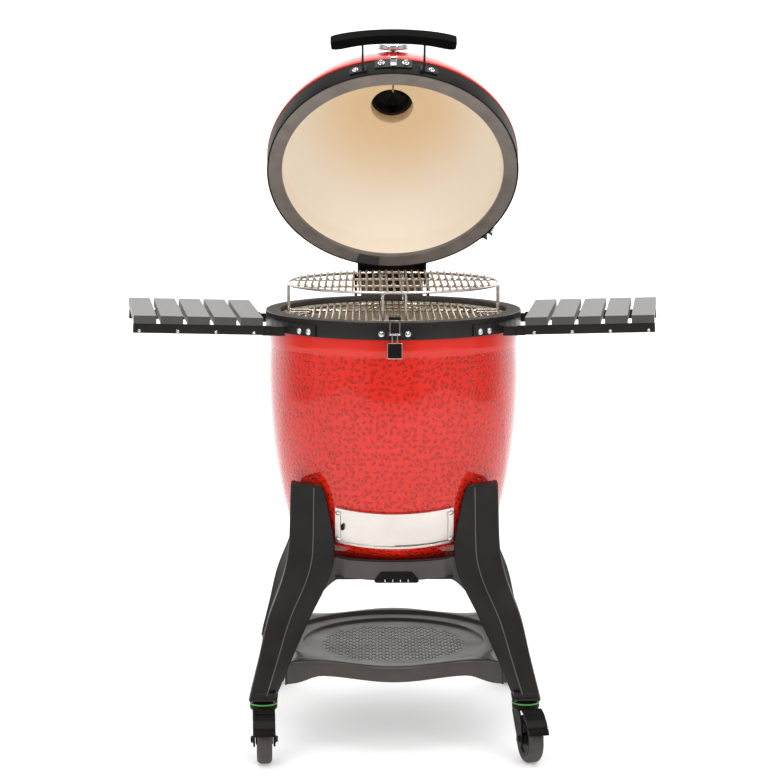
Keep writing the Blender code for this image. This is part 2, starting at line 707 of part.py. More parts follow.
def make_hinge_fork():
    """Two cheeks and a tie on the bowl's band, which hold the pin."""
    band_low = SHELL_TOP_Z - BAND_H
    start = pi - radians(18.5)
    fork = add_object("hinge_base_bracket",
                      arc_plate(RIM_R + GAP, RIM_R + 0.0045, band_low, SHELL_TOP_Z,
                                start, start + radians(37.0), 12),
                      BLACK_STEEL, smooth=30)
    for sign in (-1, 1):
        x0, x1 = sorted((sign * 0.0792, sign * 0.0850))
        cheek = prism(((0.2645, band_low + 0.001), (0.3000, band_low - 0.004), (0.3560, 0.9160),
                       (0.3580, 0.9480), (0.3480, 0.9560), (0.3260, 0.9560), (0.3060, 0.9300),
                       (0.2800, 0.9060), (0.2645, SHELL_TOP_Z - 0.001)), x0, x1, "X")
        drum = turned(((0.1, 0.8), (RIM_R + GAP, 0.8), (RIM_R + GAP, 1.0), (0.1, 1.0)), 12,
                      start, radians(37.0))
        combine(fork, cut(cheek, drum))
    combine(fork, block((-0.0800, 0.2960, 0.8740), (0.0800, 0.3480, 0.8800)))
    combine(fork, block((-0.0700, 0.2985, 0.8770), (0.0700, 0.3012, 0.9440)))
    for x in (-0.0820, 0.0820):
        combine(fork, pin_hole(x), "DIFFERENCE")


def make_hinge_box():
    """Two arms under a cover on the lid's band, which turn on the pin."""
    inner, outer = RIM_R + 0.0005 + GAP, RIM_R + 0.0050
    box = lid_piece("hinge_lid_bracket",
                    arc_plate(inner, outer, 0.9260, 0.9560, pi - radians(16.3), pi + radians(16.3), 10),
                    BLACK_STEEL, smooth=30)
    for sign in (-1, 1):
        x0, x1 = sorted((sign * 0.0725, sign * 0.0780))
        arm = prism(((0.2700, 0.9270), (0.3300, 0.9270), (0.3460, 0.9320), (0.3500, 0.9420),
                     (0.3460, 0.9520), (0.3360, 0.9560), (0.2700, 0.9550)), x0, x1, "X")
        drum = turned(((0.1, 0.8), (inner, 0.8), (inner, 1.0), (0.1, 1.0)), 12,
                      pi - radians(20), radians(40))
        combine(box, cut(arm, drum))
    combine(box, block((-0.0740, 0.2760, 0.9535), (0.0740, 0.3430, 0.9570)))
    for x in (-0.0750, 0.0750):
        combine(box, pin_hole(x), "DIFFERENCE")


def make_pin_and_spring():
    length = 2 * PIN_HALF
    pin = along_pin(((0.0, 0.0), (PIN_R, 0.0), (PIN_R, length), (0.0, length)), -PIN_HALF)
    add_object("hinge_pin", pin, STAINLESS, HINGE, smooth=40)

    per_turn, wire, coil_r = 8, 0.0015, 0.0091
    count = SPRING_TURNS * per_turn
    path = []
    for k in range(count + 1):
        angle = 2 * pi * k / per_turn
        path.append((SPRING_HALF * (2 * k / count - 1), HINGE_Y + coil_r * cos(angle),
                     HINGE_Z + coil_r * sin(angle)))
    add_object("hinge_spring", tube(path, wire, 4, up=(1, 0, 0)), STAINLESS, HINGE, smooth=60)


# ---------------------------------------------------------------- latch
LEVER_PIVOT = (0.0, -0.2835, 0.8870)
BAIL_PIVOT = (0.0, -0.2935, 0.8925)


def make_latch():
    """Draw latch on the bowl's band: ears, a lever that hangs down and a wire bail."""
    low, high = 0.8765, 0.8985
    plate = add_object("latch_plate",
                       arc_plate(RIM_R + GAP, RIM_R + 0.0030, low, high,
                                 radians(-8.4), radians(8.4), 6), BLACK_STEEL, smooth=30)
    for sign in (-1, 1):
        x0, x1 = sorted((sign * 0.0125, sign * 0.0148))
        ear = prism(((-0.2745, low + 0.001), (-0.2970, 0.8850), (-0.2985, 0.8955), (-0.2745, high)),
                    x0, x1, "X")
        combine(plate, ear)

    y, z = LEVER_PIVOT[1:]
    bar = tube([(-0.0121, y, z), (0.0121, y, z)], 0.0022, 8, up=(0, 0, 1))
    lever = add_object("latch_lever", bar, STAINLESS, LEVER_PIVOT, smooth=40)
    for sign in (-1, 1):
        x0, x1 = sorted((sign * 0.0042, sign * 0.0062))
        combine(lever, prism(((y - 0.0018, z + 0.0016), (y + 0.0018, z + 0.0016),
                              (y - 0.0010, 0.8650), (y - 0.0045, 0.8650)), x0, x1, "X"))
    grip = prism(((-0.2810, 0.8700), (-0.2925, 0.8690), (-0.2960, 0.8400), (-0.2855, 0.8390)),
                 -0.0150, 0.0150, "X")
    combine(lever, grip)

    y, z = BAIL_PIVOT[1:]
    half, top = 0.0098, 0.9330
    path = [(-0.0121, y, z), (-half, y, z), (-half, y - 0.003, top), (half, y - 0.003, top),
            (half, y, z), (0.0121, y, z)]
    add_object("latch_bail", tube(path, 0.0016, 8, up=(0, 1, 0)), STAINLESS, BAIL_PIVOT, smooth=40)


# ---------------------------------------------------------------- side shelves
def shelf_frame(side):
    """Axes of one shelf: u outwards, v along the slats to the back, w up."""
    a, b = SHELF_YAW, SHELF_TILT
    out = Vector((side * cos(a) * cos(b), -sin(a) * cos(b), sin(b)))
    back = Vector((side * sin(a), cos(a), 0))
    up = Vector((-side * sin(b) * cos(a), sin(b) * sin(a), cos(b)))
    corner = Vector((side * SHELF_CORNER[0], SHELF_CORNER[1], SHELF_CORNER[2]))
    rotation = Matrix((out, back, up)).transposed().to_4x4()
    return Matrix.Translation(corner) @ rotation


def shelf_block(side, low, high):
    bm = block(low, high)
    bm.transform(shelf_frame(side))
    return bm


def fold_point(side, v=0.0):
    return shelf_frame(side) @ Vector((FOLD_U, v, FOLD_W))


RAIL_V = (0.0040, REAR_RAIL_V)
ARM_GAP = 0.0004


def make_shelf(side, word):
    gap = (SHELF_W - SLAT_COUNT * SLAT_W) / (SLAT_COUNT - 1)
    for k in range(SLAT_COUNT):
        start = k * (SLAT_W + gap)
        bm = shelf_block(side, (start, 0.0, -SLAT_T), (start + SLAT_W, SHELF_L, 0.0))
        add_object(f"shelf_slat_{word}_{k + 1}", bm, SLAT, fold_point(side))

    top = -SLAT_T - GAP
    low = top - RAIL_H
    front, rear = RAIL_V
    rail = shelf_block(side, (-0.0180, front, low), (SHELF_W + 0.001, front + RAIL_T, top))
    frame = add_object(f"shelf_frame_{word}", rail, BLACK_STEEL, fold_point(side))
    combine(frame, shelf_block(side, (-0.0180, rear, low), (SHELF_W + 0.001, rear + RAIL_T, top)))
    for u in (0.020, SHELF_W - 0.030):
        combine(frame, shelf_block(side, (u, front + 0.002, top - 0.004),
                                   (u + 0.018, rear + 0.002, top - 0.0005)))
    return frame


def make_brackets(side, word):
    """Straps on the bowl's band, each with an arm that a shelf rail folds on."""
    low, high = 0.8760, 0.8990
    to_shelf = shelf_frame(side)
    inward = RIM_R + GAP
    for place, v, angles in (("front", RAIL_V[0] + RAIL_T + ARM_GAP, (36.0, 68.0)),
                             ("rear", RAIL_V[1] - RAIL_T - ARM_GAP, (100.0, 126.0))):
        start, end = (side * radians(a) for a in sorted(angles, key=lambda a: side * a))
        strap = arc_plate(inward, inward + 0.0030, low, high, start, end, 6)
        bracket = add_object(f"shelf_bracket_{word}_{place}", strap, BLACK_STEEL, smooth=30)
        arm = block((-0.075, v, FOLD_W - 0.0110), (-0.0004, v + RAIL_T, FOLD_W + 0.0080))
        arm.transform(to_shelf)
        drum = turned(((0.0, 0.80), (inward + 0.0015, 0.80), (inward + 0.0015, 1.0), (0.0, 1.0)), 72)
        combine(bracket, cut(arm, drum))


# ---------------------------------------------------------------- cart
def make_legs():
    """Four bent-plate legs, each closed at the bottom and at the top by a small plate."""
    for word, sx, sy in (("front_left", -1, -1), ("front_right", 1, -1),
                         ("rear_left", -1, 1), ("rear_right", 1, 1)):
        sections = []
        for z, a, e, i, b in LEG_SECTIONS:
            corner, lip, wall = 0.006, 0.010, LEG_WALL
            deep = min(b + lip, a - 0.002)
            outer = [(a - corner, a), (e, a), (i, deep), (i, b)]
            inner = [(a - corner - wall / 2, a - wall), (e + wall / 3, a - wall),
                     (i + wall, deep - wall * 0.4), (i + wall, b)]
            half = outer + inner[::-1]
            mirror = [(y, x) for x, y in inner] + [(y, x) for x, y in reversed(outer)]
            sections.append([(sx * x, sy * y, z) for x, y in half + mirror])
        leg = add_object(f"leg_{word}", lofted(sections), BLACK_STEEL, smooth=12)
        low, top = LEG_SECTIONS[0][0], LEG_SECTIONS[-1][0]
        stem = Vector((sx * CASTER_XY, sy * CASTER_XY, 0))
        parts = [block((-0.0265, -0.0265, FORK_TOP_Z + 0.0080), (0.0265, 0.0265, low + 0.006)),
                 block((-0.0295, -0.0295, FORK_TOP_Z + 0.0020), (0.0295, 0.0295, FORK_TOP_Z + 0.0100)),
                 turned(((0.0, FORK_TOP_Z + GAP), (0.0200, FORK_TOP_Z + GAP),
                         (0.0200, FORK_TOP_Z + 0.0030), (0.0, FORK_TOP_Z + 0.0030)), 16)]
        for bm in parts:
            bm.transform(Matrix.Translation(stem))
            combine(leg, bm)
        z, a, e, i, b = LEG_SECTIONS[-1]
        d = (BOWL_R * 0.9370 + 0.0020) / sqrt(2)
        cap = [(a - 0.008, a - 0.002), (e, a - 0.002), (i + 0.002, b + 0.002), (d, d),
               (b + 0.002, i + 0.002), (a - 0.002, e), (a - 0.002, a - 0.008)]
        combine(leg, prism([(sx * x, sy * y) for x, y in cap], top - 0.004, top - 0.0005))


APRON_Y = 0.2190
APRON_HALF = 0.1232


def make_upper_frame():
    """Cross under the bowl's foot, with an arched apron between each pair of legs."""
    top, low = BOWL_FOOT_Z - GAP, BOWL_FOOT_Z - 0.0060
    frame = add_object("upper_frame", block((-APRON_HALF, -APRON_Y, low),
                                            (APRON_HALF, APRON_Y, top)), BLACK_STEEL, smooth=30)
    combine(frame, block((-APRON_Y, -APRON_HALF, low), (APRON_Y, APRON_HALF, top)))
    steps = 4
    upper = [(APRON_HALF * (-1 + 2 * k / steps), 0.4070 + 0.008 * (-1 + 2 * k / steps) ** 2)
             for k in range(steps + 1)]
    lower = [(APRON_HALF * (-1 + 2 * k / steps), 0.3600 - 0.006 * (-1 + 2 * k / steps) ** 4)
             for k in range(steps + 1)]
    outline = upper + lower[::-1]
    for side in (-1, 1):
        y0, y1 = sorted((side * APRON_Y, side * (APRON_Y - 0.008)))
        combine(frame, prism(outline, y0, y1, "Y"))
        combine(frame, prism(outline, y0, y1, "X"))
    hole = turned(((0.0, low - 0.01), (0.070, low - 0.01), (0.070, top + 0.01), (0.0, top + 0.01)), 20)
    combine(frame, hole, "DIFFERENCE")


SHELF_TOP_Z = 0.1900
SHELF_STEP_Z = 0.1810           # round step inside the tray's rim
SHELF_FLOOR_Z = 0.1740          # floor of the round recess
SHELF_LOW_Z = 0.1580
SHELF_STEP_R = 0.2370
SHELF_FLOOR_R = 0.1980
SHELF_SHEET = 0.0028
SHELF_CORNER_XY = 0.2165


def shelf_outline(scale=1.0):
    """Four wavy sides, notched at the corners where the legs stand."""
    side = []
    steps = 16
    for k in range(steps + 1):
        x = SHELF_CORNER_XY * (-1 + 2 * k / steps)
        side.append((x, -0.2360 - 0.026 * cos(2 * pi * x / 0.33)))
    outline = []
    for quarter in range(4):
        c, s = round(cos(quarter * pi / 2)), round(sin(quarter * pi / 2))
        outline += [((x * c - y * s) * scale, (x * s + y * c) * scale) for x, y in side]
        x, y = SHELF_CORNER_XY, -SHELF_CORNER_XY
        outline.append(((x * c - y * s) * scale, (x * s + y * c) * scale))
    return outline


def make_lower_shelf():
    """A pressed tray between the legs: two round steps down on top, and open below."""
    def pressing(drop, grow):
        """Room over the steps, lowered and widened by the sheet's thickness."""
        return turned(((0.0, SHELF_FLOOR_Z - drop), (SHELF_FLOOR_R - 0.003 + grow, SHELF_FLOOR_Z - drop),
                       (SHELF_FLOOR_R + grow, SHELF_STEP_Z - drop),
                       (SHELF_STEP_R - 0.003 + grow, SHELF_STEP_Z - drop),
                       (SHELF_STEP_R + grow, SHELF_TOP_Z + 0.01), (0.0, SHELF_TOP_Z + 0.01)), 32)

    tray = add_object("lower_shelf", prism(shelf_outline(), SHELF_LOW_Z, SHELF_TOP_Z),
                      SHELF_GREY, smooth=30)
    combine(tray, pressing(0.0, 0.0), "DIFFERENCE")
    hollow = prism(shelf_outline(0.985), SHELF_LOW_Z - 0.01, SHELF_TOP_Z - SHELF_SHEET)
    combine(tray, cut(hollow, pressing(SHELF_SHEET, SHELF_SHEET)), "DIFFERENCE")


# ---------------------------------------------------------------- casters
def make_caster(word):
    sx = 1 if "right" in word else -1
    sy = 1 if "rear" in word else -1
    stem = Vector((sx * CASTER_XY, sy * CASTER_XY, 0.0))
    yaw = CASTER_YAWS[word]
    to_world = Matrix.Translation(stem) @ Matrix.Rotation(yaw, 4, "Z")
    trail = CASTER_TRAIL
    half, cheek = TYRE_W / 2 + 0.0030, 0.0040

    cover = turned(((0.0, 0.1050), (0.0240, 0.1050), (0.0290, 0.1090), (0.0290, 0.1165),
                    (0.0240, 0.1200), (0.0240, FORK_TOP_Z), (0.0, FORK_TOP_Z)), 16)
    cover.transform(to_world)
    fork = add_object(f"caster_fork_{word}", cover, PLASTIC, stem, smooth=35)
    for sign in (-1, 1):
        y0, y1 = sorted((sign * half, sign * (half + cheek)))
        cheek_bm = prism(((-0.0180, 0.1070), (-0.0200, 0.0980), (trail - 0.0150, 0.0420),
                          (trail - 0.0080, 0.0350), (trail + 0.0080, 0.0350),
                          (trail + 0.0150, 0.0430), (trail + 0.0100, 0.0900), (0.0220, 0.1070)),
                         y0, y1, "Y")
        cheek_bm.transform(to_world)
        combine(fork, cheek_bm)

    radius = WHEEL_R / cos(pi / WHEEL_FACETS)
    hub, w = 0.0110, TYRE_W / 2
    outline = ((0.0, -w - 0.0020), (hub, -w - 0.0020), (radius - 0.012, -w + 0.003),
               (radius - 0.003, -w), (radius, -w + 0.004), (radius, w - 0.004),
               (radius - 0.003, w), (radius - 0.012, w - 0.003), (hub, w + 0.0020),
               (0.0, w + 0.0020))
    wheel = turned(outline, WHEEL_FACETS, start=pi / WHEEL_FACETS)
    wheel.transform(Matrix.Rotation(pi / 2, 4, "X"))
    axle = to_world @ Vector((trail, 0, AXLE_Z))
    wheel.transform(Matrix.Translation(axle) @ Matrix.Rotation(yaw, 4, "Z"))
    add_object(f"caster_wheel_{word}", wheel, RUBBER, axle, smooth=35)
    if word.startswith("front"):
        make_brake(word, to_world)


BRAKE_PIVOT = (0.0150, 0.1140)


def make_brake(word, to_world):
    """Ribbed pedal that curves over the wheel and presses on the tyre."""
    inner, outer = WHEEL_R + 0.0100, WHEEL_R + 0.0135
    points_in, points_out = [], []
    steps = 8
    for k in range(steps + 1):
        angle = radians(20.0 + 64.0 * k / steps)
        rib = 0.0022 if k % 2 else 0.0
        points_in.append((CASTER_TRAIL + inner * cos(angle), AXLE_Z + inner * sin(angle)))
        points_out.append((CASTER_TRAIL + (outer + rib) * cos(angle),
                           AXLE_Z + (outer + rib) * sin(angle)))
    bm = prism(points_in + points_out[::-1], -0.0215, 0.0215, "Y")
    bm.transform(to_world)
    pivot = to_world @ Vector((BRAKE_PIVOT[0], 0, BRAKE_PIVOT[1]))
    add_object(f"caster_brake_{word}", bm, PLASTIC, pivot, smooth=25)


# ---------------------------------------------------------------- assembly
make_bowl()
make_fire_box()
make_coal_grate()
make_rack()
make_deflectors()
make_grates()
make_draft_door()
make_lid()
make_thermometer()
make_vent()
make_handle()
make_keeper()
make_hinge_fork()
make_hinge_box()
make_pin_and_spring()
make_latch()
for shelf_side, shelf_word in ((-1, "left"), (1, "right")):
    make_shelf(shelf_side, shelf_word)
    make_brackets(shelf_side, shelf_word)
make_legs()
make_upper_frame()
make_lower_shelf()
for caster_word in CASTER_YAWS:
    make_caster(caster_word)
for piece_of_lid in lid_pieces:
    piece_of_lid.matrix_world = OPENED @ Matrix.Translation(piece_of_lid.location)
bpy.context.view_layer.update()
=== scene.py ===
"""Looks of the kamado ceramic grill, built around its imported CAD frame.

Metres, +Z up, -Y is the front. The lid is modelled shut and then swung open with the frame's
own hinge, so that its pieces share the CAD lid's place.
"""
import json
from math import asin, cos, pi, radians, sin, sqrt

import bmesh
import bpy
from mathutils import Matrix, Vector
from mathutils.geometry import delaunay_2d_cdt


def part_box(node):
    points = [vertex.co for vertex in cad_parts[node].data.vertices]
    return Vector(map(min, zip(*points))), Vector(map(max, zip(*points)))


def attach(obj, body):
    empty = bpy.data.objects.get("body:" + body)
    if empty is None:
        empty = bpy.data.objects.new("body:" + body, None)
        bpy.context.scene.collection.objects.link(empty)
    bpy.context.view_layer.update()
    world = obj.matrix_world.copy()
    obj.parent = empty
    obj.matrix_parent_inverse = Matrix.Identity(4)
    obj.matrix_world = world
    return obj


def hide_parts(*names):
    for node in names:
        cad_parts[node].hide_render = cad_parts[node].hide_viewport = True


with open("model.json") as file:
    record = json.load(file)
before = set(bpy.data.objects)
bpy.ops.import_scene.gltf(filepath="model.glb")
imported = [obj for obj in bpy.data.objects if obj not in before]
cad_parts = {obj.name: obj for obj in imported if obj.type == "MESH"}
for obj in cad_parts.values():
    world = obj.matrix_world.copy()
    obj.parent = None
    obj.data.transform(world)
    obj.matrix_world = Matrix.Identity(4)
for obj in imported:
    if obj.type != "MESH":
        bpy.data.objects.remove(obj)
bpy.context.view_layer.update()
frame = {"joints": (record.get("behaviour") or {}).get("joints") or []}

# ---------------------------------------------------------------- places read from the frame
JOINTS = {joint["name"]: joint for joint in frame["joints"]}


def low(node):
    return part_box(node)[0]


def high(node):
    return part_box(node)[1]


HINGE = Vector(JOINTS["lid_hinge"]["pos_m"])
LID_OPEN = -radians(JOINTS["lid_hinge"]["range_deg"][0])
OPENED = (Matrix.Translation(HINGE) @ Matrix.Rotation(-LID_OPEN, 4, "X")
          @ Matrix.Translation(-HINGE))

RIM_Z = high("base_gasket").z
RIM_R = high("base_gasket").x
MOUTH_R = 0.241
GASKET_H = RIM_Z - low("base_gasket").z
BAND_LOW = low("base_band").z
BAND_TOP = high("base_band").z
BOWL_FOOT_Z = low("base_shell").z
BOWL_R = RIM_R - 0.0063
WALL_T = 0.027
GRATE_Z = high("cooking_grate").z
RAISED_Z = high("expander_grate").z
SHELF_TOP = high("lower_shelf").z
SHELF_LOW = low("lower_shelf").z

# ---------------------------------------------------------------- geometry helpers
ROUND = 96                      # sides of the big turned pieces


def fresh(name, bm, mats, smooth=35):
    """Make an object from a bmesh, with smooth faces and sharp edges above an angle."""
    bmesh.ops.recalc_face_normals(bm, faces=bm.faces)
    mesh = bpy.data.meshes.new(name)
    bm.to_mesh(mesh)
    bm.free()
    for mat in mats if isinstance(mats, (list, tuple)) else [mats]:
        mesh.materials.append(mat)
    mesh.shade_smooth()
    mesh.set_sharp_from_angle(angle=radians(smooth))
    obj = bpy.data.objects.new(name, mesh)
    bpy.context.scene.collection.objects.link(obj)
    return obj


def fillet(points, radius, steps=4, closed=True):
    """Round the corners of an outline. A point may carry its own radius as a last number."""
    plain = [Vector(p[:2]) for p in points]
    radii = [p[2] if len(p) > 2 else radius for p in points]
    out = []
    for i, p in enumerate(plain):
        if not closed and i in (0, len(plain) - 1):
            out.append(tuple(p))
            continue
        a = plain[i - 1] - p
        b = plain[(i + 1) % len(plain)] - p
        reach = min(radii[i], 0.45 * a.length, 0.45 * b.length)
        if reach < 1e-6:
            out.append(tuple(p))
            continue
        start, end = p + a.normalized() * reach, p + b.normalized() * reach
        for k in range(steps + 1):
            t = k / steps
            out.append(tuple(start * (1 - t) ** 2 + p * 2 * t * (1 - t) + end * t * t))
    return out


def spun(profile, segments=ROUND, start=0.0, sweep=2 * pi):
    """Spin a closed outline of (radius, z) about Z. Angles run from the front (-Y) to +X."""
    bm = bmesh.new()
    full = abs(sweep - 2 * pi) < 1e-6
    columns = segments if full else segments + 1
    uv = bm.loops.layers.uv.new("UVMap")
    walk = [0.0]
    for a, b in zip(profile, profile[1:] + profile[:1]):
        walk.append(walk[-1] + (Vector(b) - Vector(a)).length)
    widest = max(r for r, z in profile)
    poles = {}
    rings = []
    for c in range(columns):
        angle = start + sweep * c / segments
        ring = []
        for i, (r, z) in enumerate(profile):
            if r < 1e-7 and full:
                if i not in poles:
                    poles[i] = bm.verts.new((0, 0, z))
                ring.append(poles[i])
            else:
                ring.append(bm.verts.new((r * sin(angle), -r * cos(angle), z)))
        rings.append(ring)
    count = len(profile)
    for c in range(segments):
        left, right = rings[c], rings[(c + 1) % columns]
        for i in range(count):
            j = (i + 1) % count
            corners = [(left[i], c, i), (right[i], c + 1, i), (right[j], c + 1, i + 1),
                       (left[j], c, i + 1)]
            kept = []
            for corner in corners:
                if corner[0] not in [k[0] for k in kept]:
                    kept.append(corner)
            if len(kept) < 3:
                continue
            face = bm.faces.new([k[0] for k in kept])
            for loop, (_, column, step) in zip(face.loops, kept):
                loop[uv].uv = (widest * sweep * column / segments, walk[step])
    if not full:
        bm.faces.new(rings[0])
        bm.faces.new(rings[-1])
    return bm


def bridge(bm, first, second):
    """Join two rings of vertices with four-sided faces."""
    for k in range(len(first)):
        n = (k + 1) % len(first)
        bm.faces.new((first[k], first[n], second[n], second[k]))


def loft(bm, rings):
    """Skin a row of rings and close both ends."""
    for first, second in zip(rings, rings[1:]):
        bridge(bm, first, second)
    bm.faces.new(rings[0])
    bm.faces.new(rings[-1])


def prism(outline, bottom, top, axis="Z"):
    """Extrude a closed outline. axis Z takes (x, y) points, X takes (y, z), Y takes (x, z)."""
    place = {
        "Z": lambda a, b, h: (a, b, h),
        "X": lambda a, b, h: (h, a, b),
        "Y": lambda a, b, h: (a, h, b),
    }[axis]
    bm = bmesh.new()
    base = [bm.verts.new(place(a, b, bottom)) for a, b in outline]
    lid = [bm.verts.new(place(a, b, top)) for a, b in outline]
    bm.faces.new(base)
    bm.faces.new(lid)
    bridge(bm, base, lid)
    return bm


def box_bm(lo, hi):
    return prism(((lo[0], lo[1]), (hi[0], lo[1]), (hi[0], hi[1]), (lo[0], hi[1])), lo[2], hi[2])


def smooth_path(points, radius, steps=5, closed=False):
    """Round the bends of a line of 3-D points."""
    points = [Vector(p) for p in points]
    out = []
    for i, p in enumerate(points):
        if not closed and i in (0, len(points) - 1):
            out.append(p)
            continue
        a, b = points[i - 1] - p, points[(i + 1) % len(points)] - p
        reach = min(radius, 0.45 * a.length, 0.45 * b.length)
        start, end = p + a.normalized() * reach, p + b.normalized() * reach
        for k in range(steps + 1):
            t = k / steps
            out.append(start * (1 - t) ** 2 + p * 2 * t * (1 - t) + end * t * t)
    return out


def wire(points, radius, sides=10, closed=False, domed=True):
    """Round bar along a line of points, carried along without twist."""
    points = [Vector(p) for p in points]
    count = len(points)
    bm = bmesh.new()
    rings, side, last = [], None, None
    for i, p in enumerate(points):
        before = points[i - 1] if (closed or i) else None
        after = points[(i + 1) % count] if (closed or i < count - 1) else None
        back = (p - before).normalized() if before else (after - p).normalized()
        ahead = (after - p).normalized() if after else back
        tangent = (back + ahead).normalized()
        if side is None:
            side = tangent.orthogonal().normalized()
        else:
            side.rotate(last.rotation_difference(tangent))
        last = tangent
        normal = side.cross(tangent)
        rings.append([bm.verts.new(p + (side * cos(2 * pi * k / sides)
                                        + normal * sin(2 * pi * k / sides)) * radius)
                      for k in range(sides)])
    twist = 0
    if closed:
        ends = [(sum(((a.co - b.co).length for a, b in
                      zip(rings[-1], rings[0][s:] + rings[0][:s]))), s) for s in range(sides)]
        twist = min(ends)[1]
    for i in range(count if closed else count - 1):
        first = rings[i]
        second = rings[(i + 1) % count]
        if closed and i == count - 1:
            second = second[twist:] + second[:twist]
        bridge(bm, first, second)
    if not closed:
        for ring, out in ((rings[0], points[0] - points[1]), (rings[-1], points[-1] - points[-2])):
            cap_rings(bm, ring, out.normalized(), radius, domed)
    return bm


def cap_rings(bm, ring, out, radius, domed):
    """Close the end of a bar with a rounded or a flat face."""
    if not domed:
        bm.faces.new(ring)
        return
    middle = sum((v.co for v in ring), Vector()) / len(ring)
    previous = ring
    for share, rise in ((0.85, 0.35), (0.5, 0.62)):
        new = [bm.verts.new(middle + (v.co - middle) * share + out * radius * rise) for v in ring]
        bridge(bm, previous, new)
        previous = new
    bm.faces.new(previous)


def ring_path(radius, z, count=96):
    return [(radius * sin(2 * pi * k / count), -radius * cos(2 * pi * k / count), z)
            for k in range(count)]


def together(*parts):
    """Put bmeshes into one, keeping them as separate shells."""
    whole = bmesh.new()
    for part in parts:
        scratch = bpy.data.meshes.new("scratch")
        part.to_mesh(scratch)
        part.free()
        whole.from_mesh(scratch)
        bpy.data.meshes.remove(scratch)
    return whole


def moved(bm, matrix):
    bm.transform(matrix)
    return bm


def soften(obj, width, segments=2, angle=35):
    """Round an object's edges."""
    bevel = obj.modifiers.new("edges", "BEVEL")
    bevel.width = width
    bevel.segments = segments
    bevel.limit_method = "ANGLE"
    bevel.angle_limit = radians(angle)
    bevel.harden_normals = True
    bevel.use_clamp_overlap = True
    return obj


def cut(obj, bm):
    """Cut a hole with a bmesh and apply it."""
    tool = fresh("cutter", bm, obj.data.materials[0])
    modifier = obj.modifiers.new("cut", "BOOLEAN")
    modifier.operation = "DIFFERENCE"
    modifier.solver = "EXACT"
    modifier.object = tool
    bpy.context.view_layer.update()
    result = bpy.data.meshes.new_from_object(obj.evaluated_get(bpy.context.evaluated_depsgraph_get()))
    obj.modifiers.clear()
    obj.data = result
    bpy.data.objects.remove(tool, do_unlink=True)
    return obj


def put(obj, body, stands_for=(), lid=False):
    """Place a piece: on the open lid if it was modelled shut, on its body, hiding the CAD parts it stands
    for.
    """
    if lid:
        obj.matrix_world = OPENED
    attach(obj, body)
    if stands_for:
        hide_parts(*stands_for)
    return obj


def aim(point, direction, spin=0.0):
    """Matrix that puts +Z along a direction at a point."""
    turn = Vector((0, 0, 1)).rotation_difference(Vector(direction)).to_matrix().to_4x4()
    return Matrix.Translation(point) @ turn @ Matrix.Rotation(spin, 4, "Z")


def out_from(angle, radius, z):
    """A point on a circle about the bowl's axis, and the direction out from it."""
    out = Vector((sin(angle), -cos(angle), 0))
    return out * radius + Vector((0, 0, z)), out


# ---------------------------------------------------------------- fasteners
def dome_head(radius, height, socket=True):
    """Button-head bolt on a washer, its face towards +Z, with a hex socket."""
    outline = [(0.0, 0.0), (radius * 1.35, 0.0), (radius * 1.35, height * 0.22),
               (radius, height * 0.26), (radius * 0.98, height * 0.5), (radius * 0.8, height * 0.84),
               (radius * 0.5, height)]
    if socket:
        outline += [(radius * 0.42, height), (radius * 0.38, height * 0.55), (0.0, height * 0.5)]
    else:
        outline += [(0.0, height * 1.04)]
    return spun(outline, 18)


def hex_head(radius, height):
    """Hexagon bolt or nut on a washer, with a turned chamfer."""
    nut = prism([(radius * cos(k * pi / 3), radius * sin(k * pi / 3)) for k in range(6)],
                height * 0.18, height)
    edges = [e for e in nut.edges if abs(e.verts[0].co.z - height) < 1e-9
             and abs(e.verts[1].co.z - height) < 1e-9]
    bmesh.ops.bevel(nut, geom=edges, offset=radius * 0.14, segments=2, affect="EDGES")
    washer = spun([(0.0, 0.0), (radius * 1.25, 0.0), (radius * 1.25, height * 0.16),
                   (0.0, height * 0.17)], 18)
    return together(washer, nut)


def screw_head(radius, height):
    """Pan head with a cross recess."""
    head = spun([(0.0, -height * 0.2), (radius, -height * 0.2), (radius, height * 0.35),
                 (radius * 0.75, height * 0.85), (radius * 0.3, height), (0.0, height * 1.02)], 16)
    arm = radius * 0.55
    width = radius * 0.16
    slots = []
    for a, b in ((arm, width), (width, arm)):
        slots.append(box_bm((-a, -b, height * 0.55), (a, b, height * 1.3)))
    obj = fresh("screw", head, MAT["plated"], 50)
    for slot_bm in slots:
        cut(obj, slot_bm)
    result = bmesh.new()
    result.from_mesh(obj.data)
    bpy.data.objects.remove(obj, do_unlink=True)
    return result


